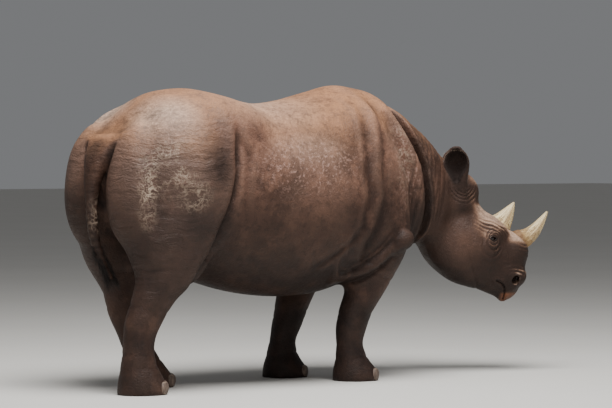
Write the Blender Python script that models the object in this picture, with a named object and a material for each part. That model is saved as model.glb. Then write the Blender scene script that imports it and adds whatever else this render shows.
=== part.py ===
"""Black rhinoceros, life size, standing in a slow step with its head low and turned a little to its right.

The body is modelled like clay: rounded masses for the muscles and bones are blended into one closed shape,
which is then parted by thin cuts where its parts meet. Horns, ears, eyes, nails and the tail's brush are set
into sockets in it. +X is forward, +Y is the animal's left, +Z is up and the soles stand on Z = 0.
"""

import math

import bmesh
import bpy
import numpy as np
import openvdb
from mathutils import Matrix, Vector

for leftover in list(bpy.data.objects):
    bpy.data.objects.remove(leftover, do_unlink=True)

# Driving sizes, in metres. X = 0 is under the withers until the finished animal is centred. GAP is the
# clearance of a socket, and the steps are the grids on which the clay is turned into meshes.
GAP = 0.0003
CLAY_STEP = 0.012
FINE_STEP = 0.005

# Triangles left in the simplified body, head and each ear, and how much their sizes are evened out.
BODY_TRIANGLES = 1565
HEAD_TRIANGLES = 1000
EAR_TRIANGLES = 280
EVEN_SIZES = 0.001

RUMP_X, SHOULDER_X = -1.43, 0.27
SHOULDER_Z = 1.08
HOCK_Z, WRIST_Z, FETLOCK_Z = 0.40, 0.345, 0.125

HEAD_AT = Vector((0.928, -0.209, 0.724))
HEAD_TURN = math.radians(-28)
EYE_RADIUS = 0.021
EYE_PLACE = Vector((-0.036, 0.1185, 0))
REAR_HORN_LENGTH, FRONT_HORN_LENGTH = 0.135, 0.215

SIDES = {"right": -1, "left": 1}


# ---- clay: signed distances, negative inside ----


def blend(first, second, reach):
    """Union of two masses with a fillet about as wide as reach."""
    share = np.clip(0.5 + 0.5 * (second - first) / reach, 0, 1)
    return second + (first - second) * share - reach * share * (1 - share)


def carve(body, tool, reach):
    """The body without the tool, its rim rounded by reach."""
    return -blend(-body, tool, reach)


def egg(points, centre, radii, lean=0.0, turn=0.0, roll=0.0):
    """Ellipsoid. lean tips its front end down, turn swings it to the left, roll turns it about its length."""
    axes = Matrix.Rotation(math.radians(turn), 3, "Z")
    axes = axes @ Matrix.Rotation(math.radians(lean), 3, "Y") @ Matrix.Rotation(math.radians(roll), 3, "X")
    local = (points - np.array(centre)) @ np.array(axes)
    radii = np.array(radii)
    near = np.sqrt(((local / radii) ** 2).sum(-1))
    slope = np.sqrt(((local / radii**2) ** 2).sum(-1)) + 1e-9
    return near * (near - 1) / slope


def along(places, stations, column):
    """A column of the stations at the given places, on a smooth curve through them."""
    knots, values = stations[:, 0], stations[:, column]
    widths = np.diff(knots)
    slopes = np.diff(values) / widths
    tangents = np.concatenate((slopes[:1], slopes, slopes[-1:]))
    before, after = np.append(widths[0], widths), np.append(widths, widths[-1])
    tangents = (tangents[:-1] * after + tangents[1:] * before) / (before + after)
    places = np.clip(places, knots[0], knots[-1])
    index = np.clip(np.searchsorted(knots, places) - 1, 0, len(widths) - 1)
    width = widths[index]
    part = (places - knots[index]) / width
    start, end = values[index], values[index + 1]
    rise = end - start
    lead, tail = tangents[index] * width - rise, rise - tangents[index + 1] * width
    return start + part * rise + part * (1 - part) * ((1 - part) * lead + part * tail)


def limb(length, across, height, stations, caps, squareness=2.0):
    """Mass along one direction, with rounded ends as long as caps.

    Each station: place, middle, half width, top, bottom and height of the widest place."""
    stations = np.array(stations)
    middle, half, top, bottom, widest = (along(length, stations, column) for column in range(1, 6))
    reach = np.where(height > widest, top - widest, widest - bottom)
    first, last = stations[0, 0], stations[-1, 0]
    beyond = np.where(length < first, (first - length) / caps[0], np.maximum(length - last, 0) / caps[1])
    cap = np.where(length < first, caps[0], caps[1])
    side, rise = np.abs(across - middle) / half, np.abs(height - widest) / reach
    near = (side**squareness + rise**squareness + beyond**squareness) ** (1 / squareness)
    size = np.sqrt(side**2 + rise**2 + beyond**2) + 1e-9
    slope = np.sqrt((side / half) ** 2 + (rise / reach) ** 2 + (beyond / cap) ** 2) + 1e-9
    return (near - 1) * size / slope


def mirrored(points, middle=0.0):
    """The same points with both flanks folded onto the left one."""
    folded = points.copy()
    folded[..., 1] = np.abs(folded[..., 1] - middle)
    return folded


def trunk_clay(points):
    """Barrel from the rump to the front of the shoulders, with a saddle back and a hanging belly."""
    stations = (
        (RUMP_X, 0, 0.22, 1.235, 0.90, 1.09),
        (-1.35, 0, 0.31, 1.360, 0.82, 1.10),
        (-1.24, 0, 0.365, 1.450, 0.74, 1.10),
        (-1.02, 0, 0.41, 1.512, 0.58, 1.06),
        (-0.80, 0, 0.44, 1.478, 0.50, 1.00),
        (-0.58, 0, 0.470, 1.440, 0.455, 0.96),
        (-0.35, 0, 0.480, 1.462, 0.442, 0.93),
        (-0.15, 0, 0.450, 1.510, 0.465, 0.94),
        (0.00, 0, 0.41, 1.540, 0.520, 0.97),
        (0.13, 0, 0.36, 1.498, 0.580, 1.02),
        (SHOULDER_X, 0, 0.30, 1.400, 0.650, SHOULDER_Z),
    )
    barrel = limb(points[..., 0], points[..., 1], points[..., 2], stations, (0.04, 0.12), 2.15)
    folded = mirrored(points)
    hip = egg(folded, (-0.98, 0.24, 1.31), (0.22, 0.14, 0.12), lean=-6, turn=12)
    buttock = egg(folded, (-1.402, 0.185, 1.05), (0.130, 0.155, 0.29), lean=8)
    hamstring = egg(folded, (-1.345, 0.195, 0.80), (0.12, 0.125, 0.25), lean=-14)
    body = blend(blend(barrel, hip, 0.14), blend(buttock, hamstring, 0.10), 0.08)
    blade = egg(folded, (-0.02, 0.25, 1.06), (0.19, 0.130, 0.34), lean=-12)
    cleft = egg(points, (-1.53, 0, 0.93), (0.085, 0.060, 0.25))
    return blend(carve(body, cleft, 0.06), blade, 0.12)


def thigh_clay(points):
    """Thigh: a broad oval that overlaps the flank, its front edge sharply creased."""
    folded = mirrored(points)
    upper = egg(folded, (-1.155, 0.25, 1.08), (0.275, 0.215, 0.335), lean=-6)
    lower = egg(folded, (-1.215, 0.235, 0.78), (0.20, 0.155, 0.26), lean=10)
    return blend(upper, lower, 0.10)


def neck_frame(points):
    """Places along, across and above the neck's axis, which runs from between the shoulders to the poll."""
    start, end = np.array((0.00, 0.0, 1.08)), np.array((0.61, -0.10, 0.93))
    forward = (end - start) / np.linalg.norm(end - start)
    left = np.cross((0, 0, 1), forward)
    left /= np.linalg.norm(left)
    local = points - start
    return local @ forward, local @ left, local @ np.cross(forward, left)


NECK_CREASES = ((0.325, 0.008, 0.020), (0.410, 0.007, 0.016), (0.485, 0.010, 0.018), (0.555, 0.006, 0.015))


def neck_clay(points):
    """Short heavy neck, creased across where the skin gathers behind the jaw."""
    length, across, height = neck_frame(points)
    stations = (
        (0.05, 0, 0.34, 0.435, -0.44, 0.02),
        (0.15, 0, 0.32, 0.415, -0.42, 0.02),
        (0.26, 0, 0.29, 0.392, -0.38, 0.01),
        (0.38, 0, 0.255, 0.355, -0.33, 0.00),
        (0.50, 0, 0.205, 0.302, -0.285, -0.04),
        (0.60, 0, 0.150, 0.238, -0.23, -0.06),
    )
    neck = limb(length, across, height, stations, (0.10, 0.09))
    for place, depth, width in NECK_CREASES:
        bow = place + 0.25 * height**2 - 0.05 * height
        neck = neck + depth * np.exp(-(((length - bow) / width) ** 2)) * np.clip(1.3 - 3 * height, 0, 1)
    return neck


def head_frame(points):
    """Points seen from between the eyes: +X towards the nose, +Y to the head's left, +Z up."""
    return (points - np.array(HEAD_AT)) @ np.array(Matrix.Rotation(HEAD_TURN, 3, "Z"))


FACE_SLOPE = math.radians(42)


def face_frame(points):
    """Head points leant so that +X runs down the face and +Z stands up from it."""
    return head_frame(points) @ np.array(Matrix.Rotation(FACE_SLOPE, 3, "Y"))


def head_clay(points):
    """Deep wedge of a head with bony brows and cheeks, a nasal boss and a hooked upper lip."""
    face = face_frame(points)
    stations = (
        (-0.36, 0, 0.125, 0.070, -0.28, -0.07),
        (-0.22, 0, 0.145, 0.083, -0.33, -0.09),
        (-0.10, 0, 0.150, 0.076, -0.342, -0.10),
        (0.00, 0, 0.143, 0.077, -0.325, -0.11),
        (0.07, 0, 0.122, 0.086, -0.293, -0.11),
        (0.13, 0, 0.105, 0.088, -0.262, -0.11),
        (0.19, 0, 0.092, 0.058, -0.240, -0.11),
        (0.25, 0, 0.072, -0.010, -0.215, -0.12),
    )
    head = limb(face[..., 0], face[..., 1], face[..., 2], stations, (0.08, 0.025))
    folded = mirrored(face)
    masses = (
        ((-0.075, 0.095, -0.095), (0.140, 0.065, 0.055), 6, 0.06),
        ((-0.16, 0.075, -0.190), (0.130, 0.075, 0.130), 0, 0.06),
        ((-0.060, 0.078, 0.022), (0.075, 0.050, 0.040), -6, 0.05),
        ((-0.300, 0.092, -0.010), (0.080, 0.062, 0.068), 0, 0.04),
        ((0.234, 0.045, -0.074), (0.045, 0.038, 0.045), 0, 0.04),
    )
    for centre, radii, lean, reach in masses:
        head = blend(head, egg(folded, centre, radii, lean), reach)
    front_boss = egg(face, (0.130, 0, 0.045), (0.080, 0.082, 0.058), lean=14)
    rear_boss = egg(face, (-0.028, 0, 0.055), (0.080, 0.074, 0.036))
    crown = egg(face, (-0.310, 0, 0.062), (0.115, 0.085, 0.105))
    lip = egg(face, (0.253, 0, -0.157), (0.042, 0.042, 0.059), lean=12)
    head = blend(blend(blend(head, front_boss, 0.05), rear_boss, 0.04), crown, 0.04)
    return blend(head, lip, 0.04)


def tube(x, y, z, ahead, aside, cap):
    """Distance to a tube whose places are given in parts of its two radii and of its end's length."""
    near = np.sqrt(x**2 + y**2 + z**2)
    slope = np.sqrt((x / ahead) ** 2 + (y / aside) ** 2 + (z / cap) ** 2) + 1e-9
    return near * (near - 1) / slope


LEG_CAP = 0.2
KNEE_BEND_Z = 0.28
KNEE_BEND_REACH = 0.13


def leg_clay(points, foot, hip, knee, stations):
    """Leg that leans from its foot at the floor to its hip at the top, its middle bent ahead by knee.

    Each station: height, fore-and-aft middle and radius, outward middle and radius."""
    stations = np.array(stations)
    height = points[..., 2]
    lean = np.clip(height / stations[-1, 0], 0, 1)
    lean = lean * lean * (3 - 2 * lean)
    forward, ahead, outward, aside = (along(height, stations, column) for column in range(1, 5))
    side = np.sign(hip[1])
    bent = knee * np.exp(-(((height - KNEE_BEND_Z) / KNEE_BEND_REACH) ** 2))
    x = points[..., 0] - foot[0] - (hip[0] - foot[0]) * lean - forward - bent
    y = (points[..., 1] - foot[1] - (hip[1] - foot[1]) * lean) * side - outward
    beyond = np.maximum(height - stations[-1, 0], 0)
    return tube(x / ahead, y / aside, beyond / LEG_CAP, ahead, aside, LEG_CAP)


HIND_STATIONS = (
    (-0.05, 0.012, 0.126, 0.0, 0.112),
    (0.045, 0.012, 0.126, 0.0, 0.112),
    (0.11, -0.002, 0.102, 0.0, 0.097),
    (0.19, -0.012, 0.082, 0.0, 0.080),
    (0.27, -0.008, 0.082, 0.0, 0.076),
    (HOCK_Z - 0.04, 0.016, 0.101, 0.005, 0.082),
    (0.46, 0.066, 0.118, 0.012, 0.096),
    (0.60, 0.150, 0.170, 0.025, 0.120),
    (0.76, 0.190, 0.215, 0.035, 0.140),
)
FORE_STATIONS = (
    (-0.05, 0.000, 0.118, 0.0, 0.112),
    (0.045, 0.000, 0.118, 0.0, 0.112),
    (0.11, -0.022, 0.090, 0.0, 0.086),
    (0.19, -0.042, 0.071, 0.0, 0.070),
    (0.27, -0.038, 0.082, 0.0, 0.078),
    (WRIST_Z + 0.01, -0.016, 0.092, 0.0, 0.086),
    (0.46, 0.028, 0.110, 0.010, 0.098),
    (0.60, 0.065, 0.145, 0.030, 0.118),
    (0.74, 0.085, 0.160, 0.055, 0.120),
)
LEGS = {
    "leg_hind_right": ((-1.383, -0.20), (-1.375, -0.20), 0, HIND_STATIONS),
    "leg_hind_left": ((-1.108, 0.13), (-1.355, 0.20), 0, HIND_STATIONS),
    "leg_fore_right": ((-0.027, -0.20), (-0.010, -0.23), 0, FORE_STATIONS),
    "leg_fore_left": ((-0.184, 0.20), (-0.070, 0.23), 0.026, FORE_STATIONS),
}


TAIL_Y, TAIL_CAP = -0.008, 0.03


def tail_middle(height):
    """Where the hanging tail's axis is at a height: it springs from the rump and tucks in at its end."""
    stations = np.array((
        (0.50, -1.400),
        (0.60, -1.450),
        (0.74, -1.515),
        (0.92, -1.545),
        (1.08, -1.530),
        (1.19, -1.475),
        (1.26, -1.385),
        (1.32, -1.285),
    ))
    return along(height, stations, 1)


def tail_clay(points):
    """Tail: a tapering cord of flesh, deepest where it leaves the rump."""
    stations = np.array((
        (0.58, 0.021, 0.019),
        (0.80, 0.028, 0.026),
        (0.97, 0.034, 0.032),
        (1.06, 0.046, 0.053),
        (1.13, 0.058, 0.078),
        (1.19, 0.070, 0.096),
        (1.26, 0.075, 0.095),
        (1.32, 0.060, 0.085),
    ))
    height = points[..., 2]
    ahead, aside = along(height, stations, 1), along(height, stations, 2)
    beyond = np.maximum(np.maximum(stations[0, 0] - height, height - stations[-1, 0]), 0)
    x, y, z = points[..., 0] - tail_middle(height), points[..., 1] - TAIL_Y, beyond
    return tube(x / ahead, y / aside, z / TAIL_CAP, ahead, aside, TAIL_CAP)


def body_clay(points):
    """The whole animal in flesh, without its ears."""
    body = blend(trunk_clay(points), thigh_clay(points), 0.035)
    folded = mirrored(points)
    arm = egg(folded, (0.08, 0.265, 0.82), (0.19, 0.125, 0.22), lean=20)
    elbow = egg(folded, (-0.10, 0.24, 0.68), (0.12, 0.10, 0.15), lean=-25)
    body = blend(blend(body, neck_clay(points), 0.09), blend(arm, elbow, 0.08), 0.07)
    knob = egg(points, (0.140, -0.406, 0.735), (0.046, 0.044, 0.046))
    body = blend(body, knob, 0.015)
    body = blend(body, head_clay(points), 0.07)
    for foot, hip, knee, stations in LEGS.values():
        body = blend(body, leg_clay(points, foot, hip, knee, stations), 0.07)
    reach = 0.012 + 0.09 * np.clip((points[..., 2] - 1.08) / 0.16, 0, 1)
    return blend(body, tail_clay(points), reach)


EAR_ROOT = Vector((-0.222, 0.108, 0.205))
EAR_SPLAY = math.radians(12)
EAR_PRICK = {-1: math.radians(0), 1: math.radians(15)}
EAR_TURN = math.radians(18)


def ear_axes(side):
    """Ear's place: +X across it towards the nose, +Y out of its cup, +Z from its root to its tip."""
    back = Matrix.Rotation(side * EAR_TURN, 4, "Z")
    prick = Matrix.Rotation(EAR_PRICK[side], 4, "Y")
    turn = Matrix.Rotation(HEAD_TURN, 4, "Z")
    root = Vector((EAR_ROOT.x, side * EAR_ROOT.y, EAR_ROOT.z))
    splay = Matrix.Rotation(-side * EAR_SPLAY, 4, "X")
    facing = Matrix.Diagonal((1, side, 1, 1))
    return Matrix.Translation(HEAD_AT) @ turn @ Matrix.Translation(root) @ back @ prick @ splay @ facing


def ear_clay(points):
    """Trumpet of an ear in its own axes: a broad root that opens into a round-tipped cup."""
    across, outward, length = points[..., 0], points[..., 1], points[..., 2]
    shell = (
        (-0.03, -0.014, 0.074, 0.044, -0.044, 0),
        (0.06, -0.013, 0.067, 0.038, -0.038, 0),
        (0.12, -0.009, 0.066, 0.036, -0.038, 0),
        (0.17, -0.003, 0.069, 0.032, -0.034, 0),
        (0.22, 0, 0.067, 0.026, -0.030, 0),
        (0.258, 0, 0.052, 0.016, -0.024, 0),
        (0.286, 0, 0.028, 0.008, -0.014, 0),
    )
    hollow = (
        (0.122, 0, 0.014, 0.050, 0.000, 0.030),
        (0.148, 0, 0.032, 0.080, -0.020, 0.032),
        (0.178, 0, 0.052, 0.085, -0.024, 0.030),
        (0.220, 0, 0.058, 0.080, -0.020, 0.028),
        (0.258, 0, 0.042, 0.060, -0.012, 0.028),
        (0.274, 0, 0.018, 0.050, -0.002, 0.030),
    )
    outside = limb(length, across, outward, shell, (0.02, 0.012))
    inside = limb(length, across, outward, hollow, (0.015, 0.008))
    return carve(outside, inside, 0.006)


# ---- solids ----


def finish(name, colour, roughness):
    """Material with one plain colour."""
    made = bpy.data.materials.new(name)
    made.use_nodes = True
    shader = made.node_tree.nodes["Principled BSDF"]
    shader.inputs["Base Color"].default_value = (*colour, 1)
    shader.inputs["Roughness"].default_value = roughness
    made.diffuse_color = (*colour, 1)
    return made


HIDE = finish("hide", (0.125, 0.078, 0.058), 0.75)
HORN = finish("horn", (0.56, 0.46, 0.33), 0.45)
EYE = finish("eye", (0.012, 0.008, 0.007), 0.10)
NAIL = finish("nail", (0.17, 0.12, 0.09), 0.55)
BRISTLE = finish("bristle", (0.02, 0.016, 0.015), 0.60)

animal = bpy.data.objects.new("rhinoceros", None)
bpy.context.scene.collection.objects.link(animal)


def triangulate(mesh):
    """Splits the faces of a mesh into triangles, so that a swollen copy of it bends along the same lines."""
    shape = bmesh.new()
    shape.from_mesh(mesh)
    bmesh.ops.triangulate(shape, faces=shape.faces)
    shape.to_mesh(mesh)
    shape.free()


def add_solid(name, mesh, material):
    """Sub-part with its own copy of a material, parented to the animal."""
    triangulate(mesh)
    solid = bpy.data.objects.new(name, mesh)
    bpy.context.scene.collection.objects.link(solid)
    own = material.copy()
    own.name = f"{name}_{material.name}"
    mesh.materials.clear()
    mesh.materials.append(own)
    mesh.shade_smooth()
    mesh.set_sharp_from_angle(angle=math.radians(40))
    solid.parent = animal
    return solid


def add_cutter(name, mesh):
    """Helper that only cuts."""
    cutter = bpy.data.objects.new(name, mesh)
    bpy.context.scene.collection.objects.link(cutter)
    cutter.hide_render = True
    cutter.display_type = "WIRE"
    cutter.parent = animal
    return cutter


def mesh_from(shape, name):
    """Plain mesh from a bmesh, which is freed."""
    mesh = bpy.data.meshes.new(name)
    shape.to_mesh(mesh)
    shape.free()
    return mesh


def cast(name, clay, low, high, step):
    """Closed mesh of the surface of a clay between two corners."""
    low = np.array(low)
    axes = [np.arange(start, end, step) for start, end in zip(low, high)]
    values = np.empty([len(axis) for axis in axes], np.float32)
    for index, x in enumerate(axes[0]):
        values[index] = clay(np.stack(np.meshgrid(x, axes[1], axes[2], indexing="ij"), -1))[0]
    grid = openvdb.FloatGrid(1.0)
    grid.copyFromArray(values)
    points, quads = grid.convertToQuads(isovalue=0.0)
    mesh = bpy.data.meshes.new(name)
    mesh.from_pydata((np.array(points) * step + low).tolist(), [], quads.tolist())
    return mesh


def evaluated_mesh(solid):
    """Mesh of an object with its modifiers applied."""
    bpy.context.view_layer.update()
    graph = bpy.context.evaluated_depsgraph_get()
    return bpy.data.meshes.new_from_object(solid.evaluated_get(graph))


def triangles_in(mesh, region):
    """How many triangles the faces of a mesh make in a region."""
    return sum(len(face.vertices) - 2 for face in mesh.polygons if region(face.center))


def everywhere(point):
    """The region that holds every point."""
    return True


def simplified(mesh, kept, region=everywhere):
    """Mesh reduced in a region until about so many triangles are left there."""
    inside = triangles_in(mesh, region)
    total = triangles_in(mesh, everywhere)
    holder = bpy.data.objects.new("holder", mesh)
    bpy.context.scene.collection.objects.link(holder)
    reducer = holder.modifiers.new("fewer faces", "DECIMATE")
    reducer.ratio = (total - inside + kept) / total
    group = holder.vertex_groups.new(name="region")
    group.add([vertex.index for vertex in mesh.vertices if region(vertex.co)], 1, "REPLACE")
    reducer.vertex_group = group.name
    reducer.vertex_group_factor = EVEN_SIZES
    reduced = evaluated_mesh(holder)
    bpy.data.objects.remove(holder)
    return reduced


def ball(centre, radii, rings=8, segments=12, turned=Matrix()):
    """Ellipsoid as a bmesh."""
    shape = bmesh.new()
    place = Matrix.Translation(centre) @ turned @ Matrix.Diagonal((*radii, 1))
    bmesh.ops.create_uvsphere(shape, u_segments=segments, v_segments=rings, radius=1, matrix=place)
    return shape


def cut_flat(shape, height):
    """Removes what lies below a level and closes the cut with a flat face."""
    everything = shape.verts[:] + shape.edges[:] + shape.faces[:]
    level = (0, 0, height)
    bmesh.ops.bisect_plane(shape, geom=everything, plane_co=level, plane_no=(0, 0, 1), clear_inner=True)
    rims = [edge for edge in shape.edges if edge.is_boundary]
    bmesh.ops.holes_fill(shape, edges=rims, sides=0)
    bmesh.ops.recalc_face_normals(shape, faces=shape.faces)


def seat(guest, host):
    """Cuts a socket for the guest into the host, wider than it by the gap all round."""
    cutter = add_cutter(f"{host.name}_socket_{guest.name}", guest.data.copy())
    swell = cutter.modifiers.new("gap", "DISPLACE")
    swell.strength = GAP
    swell.mid_level = 0
    socket = host.modifiers.new(f"socket {guest.name}", "BOOLEAN")
    socket.object = cutter


# Thin cuts. A slab is a flat cut: its middle, the direction it faces and half its two sides. A shell is a
# curved cut round the top of a limb, which lies in the body like a ball in a socket.

CUT = 2 * GAP


def slab(middle, facing, half_width, half_height):
    """Thin box that faces a direction, its height as near upright as it can be."""
    facing = Vector(facing).normalized()
    sideways = facing.orthogonal() if abs(facing.z) > 0.9 else Vector((0, 0, 1)).cross(facing)
    sideways.normalize()
    upright = facing.cross(sideways)
    axes = Matrix((facing, sideways, upright)).transposed().to_4x4()
    shape = bmesh.new()
    size = Matrix.Diagonal((CUT, 2 * half_width, 2 * half_height, 1))
    bmesh.ops.create_cube(shape, size=1, matrix=Matrix.Translation(middle) @ axes @ size)
    return shape


def shell(middle, radii):
    """Hollow ellipsoid with a wall as thick as a cut."""
    shape = ball(middle, radii)
    inner = ball(middle, [radius - CUT for radius in radii])
    bmesh.ops.reverse_faces(inner, faces=inner.faces)
    lining = mesh_from(inner, "lining")
    shape.from_mesh(lining)
    return shape


def head_place(point):
    """World place of a point in the head's frame."""
    return HEAD_AT + Matrix.Rotation(HEAD_TURN, 3, "Z") @ Vector(point)


def head_direction(direction):
    """World direction of a direction in the head's frame."""
    return Matrix.Rotation(HEAD_TURN, 3, "Z") @ Vector(direction)


def limb_ball(name, foot, hip):
    """Middle and radii of the ball that holds the top of a leg."""
    side = math.copysign(1, foot[1])
    if "hind" in name:
        return (-0.98 + 0.18 * foot[0], side * 0.262, 0.905), (0.330, 0.258, 0.515)
    return (0.037 + 0.3 * foot[0] + 0.7 * hip[0], side * 0.265, 0.78), (0.27, 0.255, 0.42)


NECK_CUT = Vector((0.36, -0.05, 1.05)), Vector((0.98, -0.12, -0.10))
HEAD_CUT = head_place((-0.35, 0, 0.15)), head_direction((0.978, 0, -0.21))
TAIL_CUT = (-1.545, 0, 1.02)

cuts = [slab(*NECK_CUT, 0.55, 0.55), slab(*HEAD_CUT, 0.42, 0.42)]
cuts.append(slab(TAIL_CUT, (0, 0, 1), 0.06, 0.06))
middles = {
    "trunk": (-0.55, 0, 1.0),
    "neck": (0.42, -0.05, 1.00),
    "head": head_place((-0.10, 0, -0.05)),
    "tail": (-1.51, 0, 0.82),
}
for leg_name, (leg_foot, leg_hip, _, _) in LEGS.items():
    ball_middle, ball_radii = limb_ball(leg_name, leg_foot, leg_hip)
    cuts.append(shell(ball_middle, ball_radii))
    cuts.append(slab((*leg_foot, FETLOCK_Z), (0, 0, 1), 0.16, 0.16))
    middles[f"{leg_name}_upper"] = ball_middle
    middles[f"{leg_name}_lower"] = (*leg_foot, 0.28)
    middles[f"{leg_name}_foot"] = (*leg_foot, 0.06)


def on_head(point):
    """Whether a point belongs to the head, which keeps the finest faces."""
    return (point - HEAD_AT).length < 0.42


def on_rest(point):
    """Whether a point belongs to the rest of the body."""
    return not on_head(point)


def whole_body():
    """The flesh as one mesh, standing on flat soles."""
    body = cast("body", body_clay, (-1.68, -0.60, -0.04), (1.20, 0.60, 1.62), CLAY_STEP)
    coarse = simplified(simplified(body, BODY_TRIANGLES, on_rest), HEAD_TRIANGLES, on_head)
    shape = bmesh.new()
    shape.from_mesh(coarse)
    cut_flat(shape, 0)
    return mesh_from(shape, "body")


def part_body(mesh):
    """Cuts the body and gives each loose piece the name of the middle it lies nearest to."""
    body = bpy.data.objects.new("body", mesh)
    bpy.context.scene.collection.objects.link(body)
    cutters = [add_cutter(f"cut_{index}", mesh_from(cut, "cut")) for index, cut in enumerate(cuts)]
    for cutter in cutters:
        modifier = body.modifiers.new(cutter.name, "BOOLEAN")
        modifier.object = cutter
    pieces = bpy.data.objects.new("pieces", evaluated_mesh(body))
    bpy.context.scene.collection.objects.link(pieces)
    for helper in cutters + [body]:
        bpy.data.objects.remove(helper)
    pieces.select_set(True)
    bpy.context.view_layer.objects.active = pieces
    bpy.ops.mesh.separate(type="LOOSE")
    loose = list(bpy.context.selected_objects)
    for piece in loose:
        points = [vertex.co for vertex in piece.data.vertices]
        middle = sum(points, Vector()) / len(points)
        name = min(middles, key=lambda key: (Vector(middles[key]) - middle).length)
        add_solid(name, piece.data.copy(), HIDE)
        bpy.data.objects.remove(piece)


part_body(whole_body())


def add_ear(name, side):
    """Ear, whose root is then cut to the shape of the head that it stands on."""
    block = cast(name, ear_clay, (-0.09, -0.06, -0.07), (0.09, 0.06, 0.32), FINE_STEP)
    mesh = simplified(block, EAR_TRIANGLES)
    mesh.transform(ear_axes(side))
    if side < 0:
        mesh.flip_normals()
    return add_solid(name, mesh, HIDE)


def horn_mesh(root, tilt, bend, length, half_length, half_width, fullness):
    """Horn that rises from its root in the head's frame and curves back; tilt and bend are in degrees."""
    rings, around, sunk = 7, 10, 0.022
    shape = bmesh.new()
    place = Vector(root)
    before = None
    for ring in range(-1, rings + 1):
        part = max(ring, 0) / rings
        angle = math.radians(tilt + bend * (1 - (1 - part) ** 2))
        along_horn = Vector((math.cos(angle), 0, math.sin(angle)))
        ahead = Vector((math.sin(angle), 0, -math.cos(angle)))
        if ring > 0:
            place = place + along_horn * length / rings
        middle = place - along_horn * sunk if ring < 0 else place
        taper = (1 - 0.94 * part) ** fullness
        loop = []
        for step in range(around):
            turn = math.tau * step / around
            offset = ahead * math.cos(turn) * half_length + Vector((0, math.sin(turn) * half_width, 0))
            loop.append(shape.verts.new(head_place(middle + offset * taper)))
        if before:
            for step in range(around):
                follow = (step + 1) % around
                shape.faces.new((before[step], before[follow], loop[follow], loop[step]))
        else:
            shape.faces.new(loop)
        before = loop
    shape.faces.new(before)
    bmesh.ops.recalc_face_normals(shape, faces=shape.faces)
    return mesh_from(shape, "horn")


def add_eye(name, side):
    """Eyeball, sunk in the side of the head."""
    middle = head_place((EYE_PLACE.x, side * EYE_PLACE.y, EYE_PLACE.z))
    shape = ball(middle, [EYE_RADIUS] * 3, rings=7, segments=10)
    return add_solid(name, mesh_from(shape, name), EYE)


head_solid = bpy.data.objects["head"]
for side_name, side_sign in SIDES.items():
    ear = add_ear(f"ear_{side_name}", side_sign)
    seat(head_solid, ear)
    seat(bpy.data.objects["neck"], ear)
    seat(add_eye(f"eye_{side_name}", side_sign), head_solid)
rear_horn = horn_mesh((0.045, 0, 0.078), 48, 12, REAR_HORN_LENGTH, 0.062, 0.046, 0.85)
front_horn = horn_mesh((0.158, 0, -0.012), 12, 46, FRONT_HORN_LENGTH, 0.054, 0.052, 0.78)
seat(add_solid("horn_rear", rear_horn, HORN), head_solid)
seat(add_solid("horn_front", front_horn, HORN), head_solid)

# Three hoof-like nails on the front and sides of each foot, the middle one the widest.
NAIL_TOES = (("inner", 56, 0.039), ("middle", 0, 0.050), ("outer", -56, 0.039))
NAIL_CLEARANCE = 0.004
NAIL_REACH = 0.93


def add_nail(name, foot, stations, angle, half_width):
    """Nail set in the front of a foot, its lower edge just clear of the ground."""
    stations = np.array(stations)
    forward, ahead, outward, aside = (float(along(0.04, stations, column)) for column in range(1, 5))
    turn = math.radians(angle)
    out = Vector((math.cos(turn) * ahead, math.sin(turn) * aside, 0))
    middle = Vector((foot[0] + forward, foot[1], 0.031)) + out * NAIL_REACH
    shape = ball(middle, (0.020, half_width, 0.034), 5, 8, Matrix.Rotation(turn, 4, "Z"))
    cut_flat(shape, NAIL_CLEARANCE)
    return add_solid(name, mesh_from(shape, name), NAIL)


for leg_name, (leg_foot, _, _, leg_stations) in LEGS.items():
    outward_sign = math.copysign(1, leg_foot[1])
    for toe, toe_angle, toe_width in NAIL_TOES:
        toe_turn = -outward_sign * toe_angle
        nail = add_nail(f"{leg_name}_nail_{toe}", leg_foot, leg_stations, toe_turn, toe_width)
        seat(nail, bpy.data.objects[f"{leg_name}_foot"])

# Brush of bristles at the tail's end, hanging in line with it.
brush_lean = Matrix.Rotation(math.radians(-27), 4, "Y")
brush_shape = ball((-1.438, TAIL_Y, 0.575), (0.030, 0.016, 0.105), 8, 8, brush_lean)
brush_mesh = mesh_from(brush_shape, "tail_brush")
seat(add_solid("tail_brush", brush_mesh, BRISTLE), bpy.data.objects["tail"])

# The origin is moved to the middle of the animal's length and width.
bpy.context.view_layer.update()
evaluated = [solid.evaluated_get(bpy.context.evaluated_depsgraph_get()) for solid in animal.children]
corners = [Vector(corner) for solid in evaluated if not solid.hide_render for corner in solid.bound_box]
for axis in range(2):
    places = [corner[axis] for corner in corners]
    animal.location[axis] = -(min(places) + max(places)) / 2
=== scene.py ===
"""Black rhinoceros, life size: the looks of the finished model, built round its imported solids."""

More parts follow.
